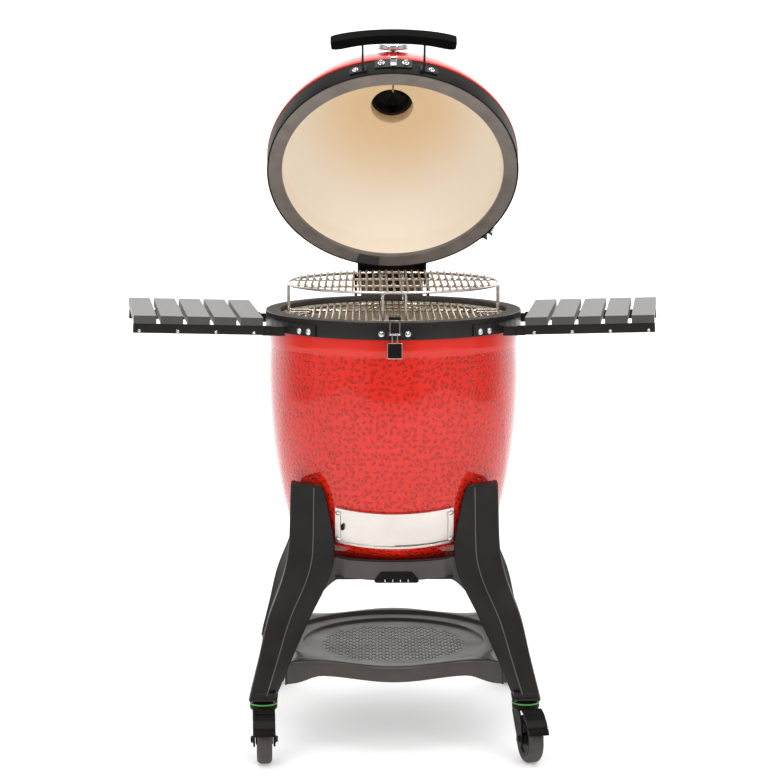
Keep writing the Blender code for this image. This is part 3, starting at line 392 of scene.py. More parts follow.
# ---------------------------------------------------------------- materials
class Shader:
    """A material's node tree, with short calls for the nodes used here."""

    def __init__(self, name, color, roughness, metallic=0.0):
        self.mat = bpy.data.materials.new(name)
        self.mat.use_nodes = True
        self.tree = self.mat.node_tree
        self.shader = self.tree.nodes["Principled BSDF"]
        self.set("Base Color", (*color, 1.0))
        self.set("Roughness", roughness)
        self.set("Metallic", metallic)
        self.mat.diffuse_color = (*color, 1.0)

    def set(self, socket, value):
        self.shader.inputs[socket].default_value = value

    def node(self, kind, **values):
        node = self.tree.nodes.new(kind)
        for key, value in values.items():
            if hasattr(node, key):
                setattr(node, key, value)
            else:
                node.inputs[key.replace("_", " ")].default_value = value
        return node

    def link(self, output, target):
        self.tree.links.new(output, target)

    def coordinates(self, stretch=(1, 1, 1), output="Object"):
        source = self.node("ShaderNodeTexCoord").outputs[output]
        mapping = self.node("ShaderNodeMapping")
        mapping.inputs["Scale"].default_value = stretch
        self.link(source, mapping.inputs["Vector"])
        return mapping.outputs["Vector"]

    def noise(self, vector, scale, detail=3.0, roughness=0.5):
        node = self.node("ShaderNodeTexNoise")
        node.inputs["Scale"].default_value = scale
        node.inputs["Detail"].default_value = detail
        node.inputs["Roughness"].default_value = roughness
        self.link(vector, node.inputs["Vector"])
        return node.outputs["Fac"]

    def spread(self, value, low_to, high_to, low_from=0.3, high_from=0.7, kind="LINEAR"):
        node = self.node("ShaderNodeMapRange")
        node.interpolation_type = kind
        node.inputs["From Min"].default_value = low_from
        node.inputs["From Max"].default_value = high_from
        node.inputs["To Min"].default_value = low_to
        node.inputs["To Max"].default_value = high_to
        self.link(value, node.inputs["Value"])
        return node.outputs["Result"]

    def math(self, operation, a, b=0.0, c=0.0):
        node = self.node("ShaderNodeMath", operation=operation)
        for socket, value in zip(node.inputs, (a, b, c)):
            if isinstance(value, (int, float)):
                socket.default_value = value
            else:
                self.link(value, socket)
        return node.outputs[0]

    def vector(self, operation, a, b=None, scale=None):
        node = self.node("ShaderNodeVectorMath", operation=operation)
        for socket, value in zip(node.inputs, (a, b)):
            if value is None:
                continue
            if isinstance(value, tuple):
                socket.default_value = value
            else:
                self.link(value, socket)
        if scale is not None:
            self.link(scale, node.inputs["Scale"])
        return node.outputs["Value" if operation in ("DOT_PRODUCT", "LENGTH") else "Vector"]

    def colors(self, value, first, second):
        node = self.node("ShaderNodeMix", data_type="RGBA")
        ends = [socket for socket in node.inputs if socket.type == "RGBA"]
        for socket, color in zip(ends, (first, second)):
            socket.default_value = (*color, 1.0)
        self.link(value, node.inputs["Factor"])
        return [o for o in node.outputs if o.type == "RGBA"][0]

    def bump(self, height, distance):
        node = self.node("ShaderNodeBump")
        node.inputs["Strength"].default_value = 1.0
        node.inputs["Distance"].default_value = distance
        self.link(height, node.inputs["Height"])
        self.link(node.outputs["Normal"], self.shader.inputs["Normal"])


def mixed(shader, first, second, scale, stretch=(1, 1, 1), detail=4.0):
    """Let a colour wander between two tones."""
    value = shader.noise(shader.coordinates(stretch), scale, detail)
    shader.link(shader.colors(shader.spread(value, 0, 1), first, second),
                shader.shader.inputs["Base Color"])
    return value


def grains(shader):
    """Height of rice-shaped dents, each turned its own way on the surface."""
    cell, half_length, half_width = 0.0132, 0.0064, 0.0030
    place = shader.coordinates()
    cells = shader.node("ShaderNodeTexVoronoi", feature="F1", voronoi_dimensions="3D")
    cells.inputs["Scale"].default_value = 1 / cell
    cells.inputs["Randomness"].default_value = 0.8
    shader.link(place, cells.inputs["Vector"])
    edge = shader.node("ShaderNodeTexVoronoi", feature="DISTANCE_TO_EDGE",
                       voronoi_dimensions="3D")
    edge.inputs["Scale"].default_value = 1 / cell
    edge.inputs["Randomness"].default_value = 0.8
    shader.link(place, edge.inputs["Vector"])
    normal = shader.node("ShaderNodeTexCoord").outputs["Normal"]
    across = shader.vector("SUBTRACT", place, cells.outputs["Position"])
    free = shader.vector("SUBTRACT", cells.outputs["Color"], (0.5, 0.5, 0.5))
    off = shader.vector("SCALE", normal, scale=shader.vector("DOT_PRODUCT", free, normal))
    along = shader.vector("NORMALIZE", shader.vector("SUBTRACT", free, off))
    beside = shader.vector("CROSS_PRODUCT", normal, along)
    u = shader.math("DIVIDE", shader.vector("DOT_PRODUCT", across, along), half_length)
    v = shader.math("DIVIDE", shader.vector("DOT_PRODUCT", across, beside), half_width)
    size = shader.math("SQRT", shader.math("ADD", shader.math("MULTIPLY", u, u),
                                           shader.math("MULTIPLY", v, v)))
    dent = shader.spread(size, 1.0, 0.0, 0.05, 1.15, "SMOOTHSTEP")
    inside = shader.spread(edge.outputs["Distance"], 0.0, 1.0, 0.0, 0.12, "SMOOTHSTEP")
    return shader.math("MULTIPLY", dent, inside), place


def glaze_material(name, smooth_low, smooth_high):
    """Red glaze. Between two heights, in the piece's own frame, it has no dents."""
    shader = Shader(name, (0.60, 0.016, 0.006), 0.10)
    shader.set("Specular IOR Level", 0.05)
    shader.set("Coat Weight", 1.0)
    shader.set("Coat Roughness", 0.05)
    shader.set("Coat IOR", 1.42)
    dent, place = grains(shader)
    height = shader.node("ShaderNodeSeparateXYZ")
    shader.link(place, height.inputs[0])
    z = height.outputs["Z"]
    below = shader.spread(z, 1.0, 0.0, smooth_low - 0.004, smooth_low)
    above = shader.spread(z, 0.0, 1.0, smooth_high, smooth_high + 0.004)
    zone = shader.math("ADD", below, above)
    ripple = shader.noise(place, 38.0, 2.0)
    dents = shader.math("MULTIPLY", shader.math("MULTIPLY", dent, zone), -1.0)
    relief = shader.math("ADD", dents, shader.math("MULTIPLY", ripple, 0.12))
    shader.bump(relief, 0.0048)
    tint = shader.spread(shader.noise(place, 9.0, 3.0), 0, 1)
    pool = shader.colors(tint, (0.57, 0.015, 0.006), (0.62, 0.018, 0.008))
    # darker red inside the dents: painted shade in their hollows
    deep = shader.node("ShaderNodeMix", data_type="RGBA")
    factor = shader.math("MULTIPLY", shader.math("MULTIPLY", dent, zone), 0.08)
    shader.link(factor, deep.inputs["Factor"])
    sockets = [s for s in deep.inputs if s.type == "RGBA"]
    shader.link(pool, sockets[0])
    sockets[1].default_value = (0.44, 0.010, 0.004, 1.0)
    shader.link([o for o in deep.outputs if o.type == "RGBA"][0],
                shader.shader.inputs["Base Color"])
    return shader.mat


def clay_material(name, first, second, roughness, grain=520.0, depth=0.00025):
    shader = Shader(name, first, roughness)
    mixed(shader, first, second, 14.0)
    place = shader.coordinates()
    fine = shader.noise(place, grain, 3.0, 0.7)
    shader.bump(fine, depth)
    shader.link(shader.spread(fine, roughness - 0.08, roughness + 0.06), shader.shader.inputs["Roughness"])
    return shader.mat


def lining_material():
    """Cream ceramic lining, its colour warmer and darker higher up, towards the vent."""
    shader = Shader("lid_lining", (0.94, 0.82, 0.65), 0.55)
    place = shader.coordinates()
    height = shader.node("ShaderNodeSeparateXYZ")
    shader.link(place, height.inputs[0])
    # the colour turns warmer and darker with height in the lid, towards the vent
    heat = shader.spread(height.outputs["Z"], 0.0, 1.0, 1.035, 1.190, "SMOOTHSTEP")
    cloud = shader.math("MULTIPLY", shader.noise(place, 6.0, 3.0), 0.16)
    shader.link(shader.colors(shader.math("ADD", heat, cloud), (0.985, 0.905, 0.79), (0.95, 0.71, 0.42)),
                shader.shader.inputs["Base Color"])
    fine = shader.noise(place, 260.0, 3.0, 0.7)
    shader.bump(fine, 0.0002)
    shader.link(shader.spread(fine, 0.47, 0.61), shader.shader.inputs["Roughness"])
    return shader.mat


def felt_material(name, first, second, nap):
    """Woven fibre gasket: fine crossed threads and a soft nap."""
    shader = Shader(name, first, 0.9)
    shader.set("Sheen Weight", nap)
    shader.set("Sheen Roughness", 0.5)
    place = shader.coordinates()
    blotch = shader.noise(place, 22.0, 5.0)
    fibre = shader.noise(shader.coordinates((1, 1, 3)), 900.0, 4.0, 0.7)
    both = shader.math("ADD", shader.math("MULTIPLY", blotch, 0.6), shader.math("MULTIPLY", fibre, 0.4))
    shader.link(shader.colors(shader.spread(both, 0, 1), first, second),
                shader.shader.inputs["Base Color"])
    weave = shader.node("ShaderNodeTexVoronoi", feature="F1")
    weave.inputs["Scale"].default_value = 620.0
    shader.link(place, weave.inputs["Vector"])
    relief = shader.math("ADD", shader.math("MULTIPLY", weave.outputs["Distance"], 0.6), fibre)
    shader.bump(relief, 0.0006)
    return shader.mat


def coat_material(name, color, roughness, peel=700.0, depth=0.00012, wear=0.05, gloss=0.35):
    """Powder coat or moulded plastic: fine orange peel and uneven gloss."""
    shader = Shader(name, color, roughness)
    shader.set("Specular IOR Level", gloss)
    place = shader.coordinates()
    peeled = shader.noise(place, peel, 2.0, 0.6)
    shader.bump(peeled, depth)
    cloud = shader.noise(place, 16.0, 4.0)
    shader.link(shader.spread(cloud, roughness - wear, roughness + wear),
                shader.shader.inputs["Roughness"])
    lighter = tuple(c * 1.35 + 0.0008 for c in color)
    shader.link(shader.colors(shader.spread(cloud, 0, 1), color, lighter),
                shader.shader.inputs["Base Color"])
    return shader.mat


def metal_material(name, color, roughness, stretch=(1, 1, 1), scale=260.0, depth=0.00005, wear=0.08):
    shader = Shader(name, color, roughness, 1.0)
    place = shader.coordinates(stretch)
    lines = shader.noise(place, scale, 3.0, 0.6)
    shader.bump(lines, depth)
    shader.link(shader.spread(lines, roughness - wear, roughness + wear),
                shader.shader.inputs["Roughness"])
    cloud = shader.noise(shader.coordinates(), 11.0, 4.0)
    darker = tuple(c * 0.86 for c in color)
    shader.link(shader.colors(shader.spread(cloud, 0, 1), darker, color),
                shader.shader.inputs["Base Color"])
    return shader.mat


def rod_material(name, first, second, rough):
    """Drawn stainless rod with straw heat tint."""
    shader = Shader(name, first, rough, 1.0)
    place = shader.coordinates()
    tint = shader.noise(place, 7.0, 4.0)
    shader.link(shader.colors(shader.spread(tint, 0, 1), first, second),
                shader.shader.inputs["Base Color"])
    streak = shader.noise(shader.coordinates((1, 0.05, 1)), 900.0, 2.0)
    shader.link(shader.spread(streak, rough - 0.07, rough + 0.07), shader.shader.inputs["Roughness"])
    shader.bump(streak, 0.00004)
    return shader.mat


def slat_material():
    """Grey composite board brushed across its length."""
    shader = Shader("slat_board", (0.085, 0.075, 0.068), 0.42)
    brushed = shader.noise(shader.coordinates((1, 14, 6), "Generated"), 26.0, 5.0, 0.65)
    cloud = shader.noise(shader.coordinates(), 18.0, 3.0)
    both = shader.math("ADD", shader.math("MULTIPLY", brushed, 0.7), shader.math("MULTIPLY", cloud, 0.3))
    shader.set("Specular IOR Level", 0.62)
    shader.link(shader.colors(shader.spread(both, 0, 1, 0.35, 0.65), (0.024, 0.0195, 0.0172),
                              (0.052, 0.0425, 0.0380)), shader.shader.inputs["Base Color"])
    shader.link(shader.spread(brushed, 0.34, 0.5), shader.shader.inputs["Roughness"])
    shader.bump(brushed, 0.00012)
    shader.set("Sheen Weight", 0.15)
    return shader.mat


def dial_material():
    shader = Shader("dial_face", (0.82, 0.82, 0.80), 0.4)
    mixed(shader, (0.80, 0.80, 0.78), (0.85, 0.85, 0.83), 40.0)
    return shader.mat


def glass_material():
    shader = Shader("dial_glass", (1.0, 1.0, 1.0), 0.03)
    shader.set("Transmission Weight", 1.0)
    shader.set("IOR", 1.45)
    smear = shader.noise(shader.coordinates(), 60.0, 2.0)
    shader.link(shader.spread(smear, 0.01, 0.05), shader.shader.inputs["Roughness"])
    return shader.mat


GLAZE_COLLAR_LOW = 0.8400       # the bowl's glaze is smooth above this
DOME_BASE_Z = high("base_shell").z + 0.0593
GLAZE_RING_HIGH = DOME_BASE_Z + 0.012

MAT = {
    "bowl_glaze": glaze_material("bowl_glaze", GLAZE_COLLAR_LOW, 2.0),
    "dome_glaze": glaze_material("dome_glaze", 0.0, GLAZE_RING_HIGH),
    "cream": clay_material("cream_ceramic", (0.94, 0.82, 0.65), (0.96, 0.85, 0.69), 0.55, 260.0, 0.0002),
    "lining": lining_material(),
    "fire_clay": clay_material("fire_clay", (0.60, 0.44, 0.26), (0.68, 0.52, 0.33), 0.9),
    "sand_clay": clay_material("deflector_clay", (0.50, 0.31, 0.12), (0.58, 0.38, 0.17), 0.9, 420.0, 0.0004),
    "felt": felt_material("gasket_felt", (0.110, 0.091, 0.077), (0.215, 0.180, 0.152), 0.25),
    # a darker copy of the gasket felt, without nap, for the bowl's gasket
    "felt_dark": felt_material("dark_felt", (0.040, 0.033, 0.028), (0.080, 0.067, 0.057), 0.0),
    "black": coat_material("black_coat", (0.0080, 0.0070, 0.0064), 0.38, gloss=0.22),
    "band": coat_material("band_coat", (0.0095, 0.0085, 0.0080), 0.30, 500.0, 0.00006, gloss=0.24),
    "lid_coat": coat_material("lid_band_coat", (0.0040, 0.0034, 0.0030), 0.42, 500.0, 0.00006, gloss=0.10),
    "stand": coat_material("stand_coat", (0.008, 0.0068, 0.0062), 0.45, 620.0, 0.00016, gloss=0.22),
    # a lighter copy of the stand's coat: painted light on the aprons
    "apron": coat_material("apron_coat_painted_light", (0.046, 0.0385, 0.0365), 0.42, 620.0, 0.00016),
    "cover": coat_material("hinge_cover", (0.105, 0.080, 0.062), 0.40, 500.0, 0.00008),
    # lighter coat for the beads on the legs' ridges: a painted highlight
    "ridge": coat_material("ridge_highlight_coat", (0.075, 0.070, 0.066), 0.35, 620.0, 0.00006),
    "tray": coat_material("tray_coat", (0.044, 0.0365, 0.0315), 0.38, 600.0, 0.00012),
    "plastic": coat_material("black_plastic", (0.0045, 0.0037, 0.0033), 0.42, 900.0, 0.00010, gloss=0.09),
    "handle": coat_material("handle_plastic", (0.0015, 0.0013, 0.0012), 0.50, 800.0, 0.00010, gloss=0.03),
    "rubber": coat_material("tyre_rubber", (0.042, 0.036, 0.032), 0.62, 500.0, 0.00018),
    "green": coat_material("green_ring", (0.075, 0.30, 0.060), 0.35, 600.0, 0.00005),
    "cast": coat_material("cast_iron", (0.011, 0.0100, 0.0095), 0.62, 300.0, 0.0004, gloss=0.2),
    "seam": clay_material("seam_patch", (0.045, 0.040, 0.036), (0.070, 0.060, 0.052), 0.85, 700.0, 0.0004),
    "rod": rod_material("stainless_rod", (0.56, 0.51, 0.44), (0.68, 0.64, 0.58), 0.24),
    "rod_tan": rod_material("heated_rod", (0.26, 0.20, 0.145), (0.36, 0.29, 0.22), 0.36),
    "plate": metal_material("stainless_sheet", (0.69, 0.645, 0.60), 0.32, (1, 1, 24), 240.0),
    "dark_steel": metal_material("dark_steel", (0.16, 0.145, 0.13), 0.28),
    "plated": metal_material("plated_steel", (0.66, 0.65, 0.63), 0.20),
    "chrome": metal_material("chrome", (0.74, 0.74, 0.74), 0.07, wear=0.02),
    "slat": slat_material(),
    "dial": dial_material(),
    "glass": glass_material(),
}


# ---------------------------------------------------------------- shapes the CAD follows too
BOWL_WIDEST_Z = 0.777
BOWL_EGG_H = 0.598
BOWL_TURN_Z = 0.450
BOWL_FLOOR_Z = 0.402
DOME_R, DOME_H = 0.2754, 0.2257
VENT_R, VENT_SEAT_Z = 0.047, 1.1760
DOOR_EDGE = radians(30.2)       # half angle of the draft door's frame
DOOR_CHANNEL = radians(27.3)
DOOR_WINDOW = (radians(-24.9), radians(-2.9))
DOOR_WINDOW_Z = (0.446, 0.496)


def ease(value):
    """Smooth step from 0 to 1."""
    value = min(1.0, max(0.0, value))
    return value * value * (3 - 2 * value)


def bowl_radius(z):
    drop = max(0.0, BOWL_WIDEST_Z - z) / BOWL_EGG_H
    turn = max(0.0, BOWL_TURN_Z - z) / (BOWL_TURN_Z - BOWL_FOOT_Z + 0.012)
    return BOWL_R * sqrt(1 - drop * drop) * (1 - turn ** 2.6) ** (1 / 2.6)


def bowl_side(z):
    """The bowl's outside: below the smooth collar the dented glaze sits slightly deeper."""
    return bowl_radius(z) - 0.0016 * ease((0.850 - z) / 0.012) * ease((z - 0.785) / 0.050)


def dome_radius(z):
    t = min(1.0, max(0.0, (z - DOME_BASE_Z) / DOME_H))
    return DOME_R * (1 - t ** 1.292) ** (1 / 1.979)


def steps(start, end, count):
    return [start + (end - start) * k / count for k in range(count + 1)]


def paint(obj, test):
    """Give the second material to the faces whose middle passes a test."""
    for face in obj.data.polygons:
        middle = face.center
        if test(sqrt(middle.x ** 2 + middle.y ** 2), middle.z):
            face.material_index = 1
    return obj


def band_bolt(angle, radius, z, bm):
    """A fastener's bmesh, standing out from the band at an angle."""
    point, out = out_from(angle, radius, z)
    return moved(bm, aim(point, out))


def cad(node, mat, width=0.0, segments=2, angle=35):
    """Dress a CAD node that stays: its material and rounded edges."""
    obj = bpy.data.objects[node]
    obj.data.materials.clear()
    obj.data.materials.append(MAT[mat])
    obj.data.shade_smooth()
    obj.data.set_sharp_from_angle(angle=radians(angle))
    if width:
        soften(obj, width, segments, angle)
    return obj


# ---------------------------------------------------------------- bowl
def make_bowl():
    top = high("base_shell").z
    profile = [(MOUTH_R, top, 0.002), (BOWL_R, top, 0.002)]
    profile += [(bowl_side(z), z, 0) for z in steps(BAND_LOW, BOWL_TURN_Z, 58)]
    profile += [(bowl_radius(z), z, 0) for z in steps(BOWL_TURN_Z, BOWL_FOOT_Z, 26)[1:]]
    profile += [(0.0, BOWL_FOOT_Z, 0), (0.0, BOWL_FLOOR_Z, 0), (0.120, BOWL_FLOOR_Z, 0.01)]
    profile += [(min(MOUTH_R, bowl_radius(z) - WALL_T), z, 0)
                for z in steps(BOWL_FLOOR_Z + 0.006, 0.78, 24)]
    shell = fresh("bowl", spun(fillet(profile, 0), 128), [MAT["bowl_glaze"], MAT["cream"]])
    low_z, high_z = DOOR_WINDOW_Z
    cut(shell, spun([(0.150, low_z), (0.260, low_z), (0.260, high_z), (0.150, high_z)], 12,
                    DOOR_WINDOW[0], DOOR_WINDOW[1] - DOOR_WINDOW[0]))
    paint(shell, lambda r, z: z > BOWL_FOOT_Z + 0.01 and r < bowl_radius(z) - 0.004)
    put(shell, "root", ["base_shell"])

    lip = RIM_Z - 0.0006
    band = [(BOWL_R + 0.0003, BAND_LOW, 0.0008), (RIM_R, BAND_LOW, 0.003), (RIM_R, lip, 0.0012),
            (RIM_R - 0.0023, lip, 0.0008), (RIM_R - 0.0023, BAND_TOP + 0.0004, 0.0002),
            (BOWL_R + 0.0003, BAND_TOP, 0.0002)]
    put(fresh("band_lower", spun(fillet(band, 0.001), 128), MAT["band"]), "root",
        ["base_band"])
    felt = [(MOUTH_R, BAND_TOP + 0.0004, 0.0005), (RIM_R - 0.0026, BAND_TOP + 0.0004, 0.0005),
            (RIM_R - 0.0026, RIM_Z, 0.0028), (MOUTH_R, RIM_Z, 0.0035)]
    put(fresh("gasket_lower", spun(fillet(felt, 0.001), 128), MAT["felt_dark"]), "root",
        ["base_gasket"])


# ---------------------------------------------------------------- inside the bowl
def make_inside():
    cad("fire_box", "fire_clay", 0.0015)
    cad("fire_ring", "fire_clay", 0.0020)
    cad("charcoal_grate", "cast", 0.0010)
    cad("heat_deflector_left", "sand_clay", 0.0012)
    cad("heat_deflector_right", "sand_clay", 0.0012)

    rack_r, ring_z, tops, wire_r = 0.2140, 0.8035, 0.8878, 0.0025
    bars = [wire(ring_path(rack_r, z), wire_r, 10, True) for z in (ring_z, tops)]
    for k in range(4):
        angle = pi / 4 + k * pi / 2
        foot, out = out_from(angle, rack_r, ring_z)
        bars.append(wire([foot, foot + Vector((0, 0, tops - ring_z))], wire_r * 0.9, 10))
        stub = out * rack_r + Vector((0, 0, 0.8475))
        bars.append(wire([stub, stub - out * 0.030], wire_r * 0.8, 8))
    put(fresh("cooking_rack_wire", together(*bars), MAT["rod"], 50), "root",
        ["cooking_rack"])


def grate(radius, count, top, bars_y):
    """Front-to-back rods on two cross bars, inside a ring."""
    rod_r, pitch, ring_r = 0.0021, 0.0143, 0.0031
    ring_z = top - 2 * rod_r - 0.0030 + 0.0008
    parts = [wire(ring_path(radius, ring_z, 120), ring_r, 12, True)]
    for y in bars_y:
        half = sqrt(radius * radius - y * y)
        parts.append(wire([(-half, y, ring_z - 0.0014), (half, y, ring_z - 0.0014)], 0.0028, 10))
    for k in range(count):
        x = (k - (count - 1) / 2) * pitch
        half = sqrt(radius * radius - x * x) + 0.0015
        z = top - rod_r
        parts.append(wire([(x, -half, z), (x, 0, z), (x, half, z)], rod_r * 1.08, 12))
    return parts, ring_z


def make_grates():
    parts = grate(0.2260, 31, GRATE_Z, (-0.105, 0.105))[0]
    put(fresh("main_grate_wire", together(*parts), MAT["rod"], 50), "cooking_grate",
        ["cooking_grate"])
    radius = 0.2250
    parts, ring_z = grate(radius, 29, RAISED_Z, (-0.075, 0.075))
    rods = parts[3:]
    parts = parts[:3]
    leg_r, half, foot_z, place = 0.0025, 0.0235, GRATE_Z + 0.0028, radius - 0.0010
    for k in range(4):
        angle = k * pi / 2
        out = Vector((sin(angle), -cos(angle), 0))
        along = Vector((cos(angle), sin(angle), 0))
        foot, top = Vector((0, 0, foot_z)), Vector((0, 0, ring_z - 0.001))
        toe = out * (place - 0.045)
        corners = [toe - along * half + foot, out * place - along * half + foot,
                   out * place - along * half + top, out * place + along * half + top,
                   out * place + along * half + foot, toe + along * half + foot]
        parts.append(wire(smooth_path(corners, 0.007), leg_r, 12))
    put(fresh("raised_grate_wire", together(*parts), MAT["rod"], 50), "expander_grate",
        ["expander_grate"])
    put(fresh("raised_grate_rods", together(*rods), MAT["rod_tan"], 50), "expander_grate")


# ---------------------------------------------------------------- draft door
DOOR_TILT, DOOR_AXIS_Z, DOOR_HALF_H = radians(15.0), 0.5340, 0.0400
DOOR_PLACE = Matrix.Translation((0, 0, DOOR_AXIS_Z)) @ Matrix.Rotation(DOOR_TILT, 4, "X")


def door_radius(h):
    """Distance of the bowl's front from the door's leaning axis, at a height along it."""
    radius = 0.245
    for _ in range(20):
        z = DOOR_AXIS_Z + h * cos(DOOR_TILT) - radius * sin(DOOR_TILT)
        radius = (bowl_radius(z) - h * sin(DOOR_TILT)) / cos(DOOR_TILT)
    return radius


def make_draft_door():
    seat, plate, slot, lip, edge, groove = 0.0016, 0.0020, 0.0026, 0.0015, 0.0050, 0.0015
    low_h, high_h = -DOOR_HALF_H, DOOR_HALF_H
    back, face = seat, seat + plate
    front = face + slot
    outer = front + lip

    def line(h0, h1, out, count=10):
        return [(door_radius(h) + out, h) for h in steps(h0, h1, count)]

    solid = line(low_h, high_h, outer) + line(high_h, low_h, back)
    frame_piece = fresh("draft_frame", moved(spun(solid, 48, -DOOR_EDGE, 2 * DOOR_EDGE), DOOR_PLACE),
                        MAT["plate"], 30)
    channel = line(low_h + edge, high_h - edge, outer + 0.002)
    channel += line(high_h - edge, high_h - groove, front, 1)
    channel += line(high_h - groove, low_h + groove, face)
    channel += line(low_h + groove, low_h + edge, front, 1)
    cut(frame_piece, moved(spun(channel, 44, -DOOR_CHANNEL, 2 * DOOR_CHANNEL), DOOR_PLACE))
    window = (DOOR_WINDOW_Z[1] - DOOR_WINDOW_Z[0]) / 2
    hole = spun([(0.220, -window), (0.270, -window), (0.270, window), (0.220, window)], 18, DOOR_WINDOW[0],
                DOOR_WINDOW[1] - DOOR_WINDOW[0])
    cut(frame_piece, moved(hole, DOOR_PLACE))
    put(soften(frame_piece, 0.0004, 1, 50), "root", ["draft_door_frame"])

    screws = []
    for sign in (-1, 1):
        for h in (0.0300, -0.0300):
            point, out = out_from(sign * radians(28.7), door_radius(h) + outer, h)
            screws.append(moved(moved(screw_head(0.0052, 0.0024), aim(point, out, 0.5)), DOOR_PLACE))
    put(fresh("draft_frame_screws", together(*screws), MAT["plated"], 40), "root")

    near, far = face + 0.0005, front - 0.0005
    d0, d1 = low_h + 0.0021, high_h - 0.0021
    panel = line(d0, d1, far) + line(d1, d0, near)
    door = fresh("draft_panel", moved(spun(panel, 24, radians(-27.22), radians(27.62)), DOOR_PLACE),
                 MAT["plate"], 30)
    put(door, "draft_door", ["draft_door"])
    tip = door_radius(0.0) + far
    tab = [(tip - 0.0005, 0.0065), (tip + 0.006, 0.0065, 0.002), (tip + 0.006, -0.0065, 0.002),
           (tip - 0.0005, -0.0065)]
    knob = spun(fillet(tab, 0.0005), 4, radians(-26.5), radians(1.1))
    put(soften(fresh("draft_knob", moved(knob, DOOR_PLACE), MAT["plastic"], 30), 0.0008, 2, 50), "draft_door")


# ---------------------------------------------------------------- lid
LID_FACE_Z = RIM_Z + 0.0010
LID_SHELL_Z = LID_FACE_Z + GASKET_H + 0.0003
LID_BAND_TOP = DOME_BASE_Z - 0.0003
THERMO_Z = 1.030
STEM_TIP = -0.088               # end of the thermometer's stem, inwards from the dome


def thermo_place():
    slope = (dome_radius(THERMO_Z + 0.001) - dome_radius(THERMO_Z - 0.001)) / 0.002
    direction = Vector((0, -1, -slope)).normalized()
    return aim(Vector((0, -dome_radius(THERMO_Z), THERMO_Z)), direction)


def make_lid():
    inner_h = 0.2037
    outline = [(MOUTH_R, LID_SHELL_Z, 0.002), (BOWL_R, LID_SHELL_Z, 0.002),
               (BOWL_R, DOME_BASE_Z, 0.0005), (DOME_R - 0.0006, DOME_BASE_Z, 0.0022)]
    outline += [(dome_radius(DOME_BASE_Z + DOME_H * t), DOME_BASE_Z + DOME_H * t, 0)
                for t in [0.945 * (k / 60) ** 0.9 for k in range(1, 61)]]
    outline += [(VENT_R + 0.020, VENT_SEAT_Z, 0.003), (VENT_R, VENT_SEAT_Z, 0.002)]

    def inner_point(t):
        radius = (DOME_R - 0.031) * (1 - max(0.0, t) ** 1.45) ** (1 / 2.1)
        return min(MOUTH_R, radius), DOME_BASE_Z - 0.004 + inner_h * t, 0

    outline += [(VENT_R, inner_point(0.94)[1], 0.003)]
    outline += [inner_point(t) for t in steps(0.925, 0.0, 36)]
    shell = fresh("dome", spun(fillet(outline, 0), 128), [MAT["dome_glaze"], MAT["lining"]])
    cut(shell, moved(spun([(0.0, -0.06), (0.0062, -0.06), (0.0062, 0.03), (0.0, 0.03)], 20),
                     thermo_place()))
    paint(shell, lambda r, z: r < min(dome_radius(z), BOWL_R) - 0.005 and z < VENT_SEAT_Z - 0.002)
    put(shell, "lid", ["lid_shell"], lid=True)

    wide = RIM_R + 0.0005
    lip = LID_FACE_Z + 0.0006
    band = [(BOWL_R + 0.0003, LID_BAND_TOP, 0.0005), (wide, LID_BAND_TOP, 0.0028), (wide, lip, 0.0012),
            (wide - 0.0023, lip, 0.0008), (wide - 0.0023, LID_SHELL_Z, 0.0002),
            (BOWL_R + 0.0003, LID_SHELL_Z, 0.0002)]
    put(fresh("band_upper", spun(fillet(band, 0.001), 128), MAT["lid_coat"]), "lid",
        ["lid_band"], lid=True)
    top = LID_FACE_Z + GASKET_H
    felt = [(MOUTH_R, top, 0.0005), (RIM_R - 0.0026, top, 0.0005), (RIM_R - 0.0026, LID_FACE_Z, 0.0028),
            (MOUTH_R, LID_FACE_Z, 0.0035)]
    put(fresh("gasket_upper", spun(fillet(felt, 0.001), 128), MAT["felt"]), "lid",
        ["lid_gasket"], lid=True)
    patch = [(MOUTH_R + 0.0015, LID_FACE_Z + 0.001, 0), (RIM_R - 0.0035, LID_FACE_Z + 0.001, 0),
             (RIM_R - 0.0040, LID_FACE_Z - 0.0007, 0.001), (MOUTH_R + 0.0020, LID_FACE_Z - 0.0007, 0.001)]
    put(fresh("gasket_seam", spun(fillet(patch, 0.0005), 10, pi + radians(6.7), radians(11)), MAT["seam"]),
        "lid", lid=True)

    bolts = [band_bolt(sign * asin(0.113 / wide) + pi, wide, 0.941, dome_head(0.0042, 0.0032))
             for sign in (-1, 1)]
    put(fresh("band_upper_bolts", together(*bolts), MAT["chrome"], 40), "lid", lid=True)
    make_clamp(wide)


def make_clamp(radius):
    """Two ears and the bolt that draws the lid's band tight."""
    angle = radians(131.3)
    point, out = out_from(angle, radius, 0.931)
    along = Vector((cos(angle), sin(angle), 0))
    ears = []
    for sign in (-1, 1):
        middle = point + along * sign * 0.0085
        ear = box_bm((-0.0016, -0.001, -0.0120), (0.0016, 0.0165, 0.0120))
        turn = Matrix((along, out, Vector((0, 0, 1)))).transposed().to_4x4()
        ears.append(moved(ear, Matrix.Translation(middle) @ turn))
    put(soften(fresh("band_clamp_ears", together(*ears), MAT["band"]), 0.0009), "lid",
        lid=True)
    centre = point + out * 0.0105
    bolt = [wire([centre - along * 0.020, centre + along * 0.020], 0.0026, 12)]
    for sign in (-1, 1):
        bolt.append(moved(hex_head(0.0062, 0.0050), aim(centre + along * sign * 0.0101, along * sign)))
    put(fresh("band_clamp_bolt", together(*bolt), MAT["chrome"], 40), "lid", lid=True)


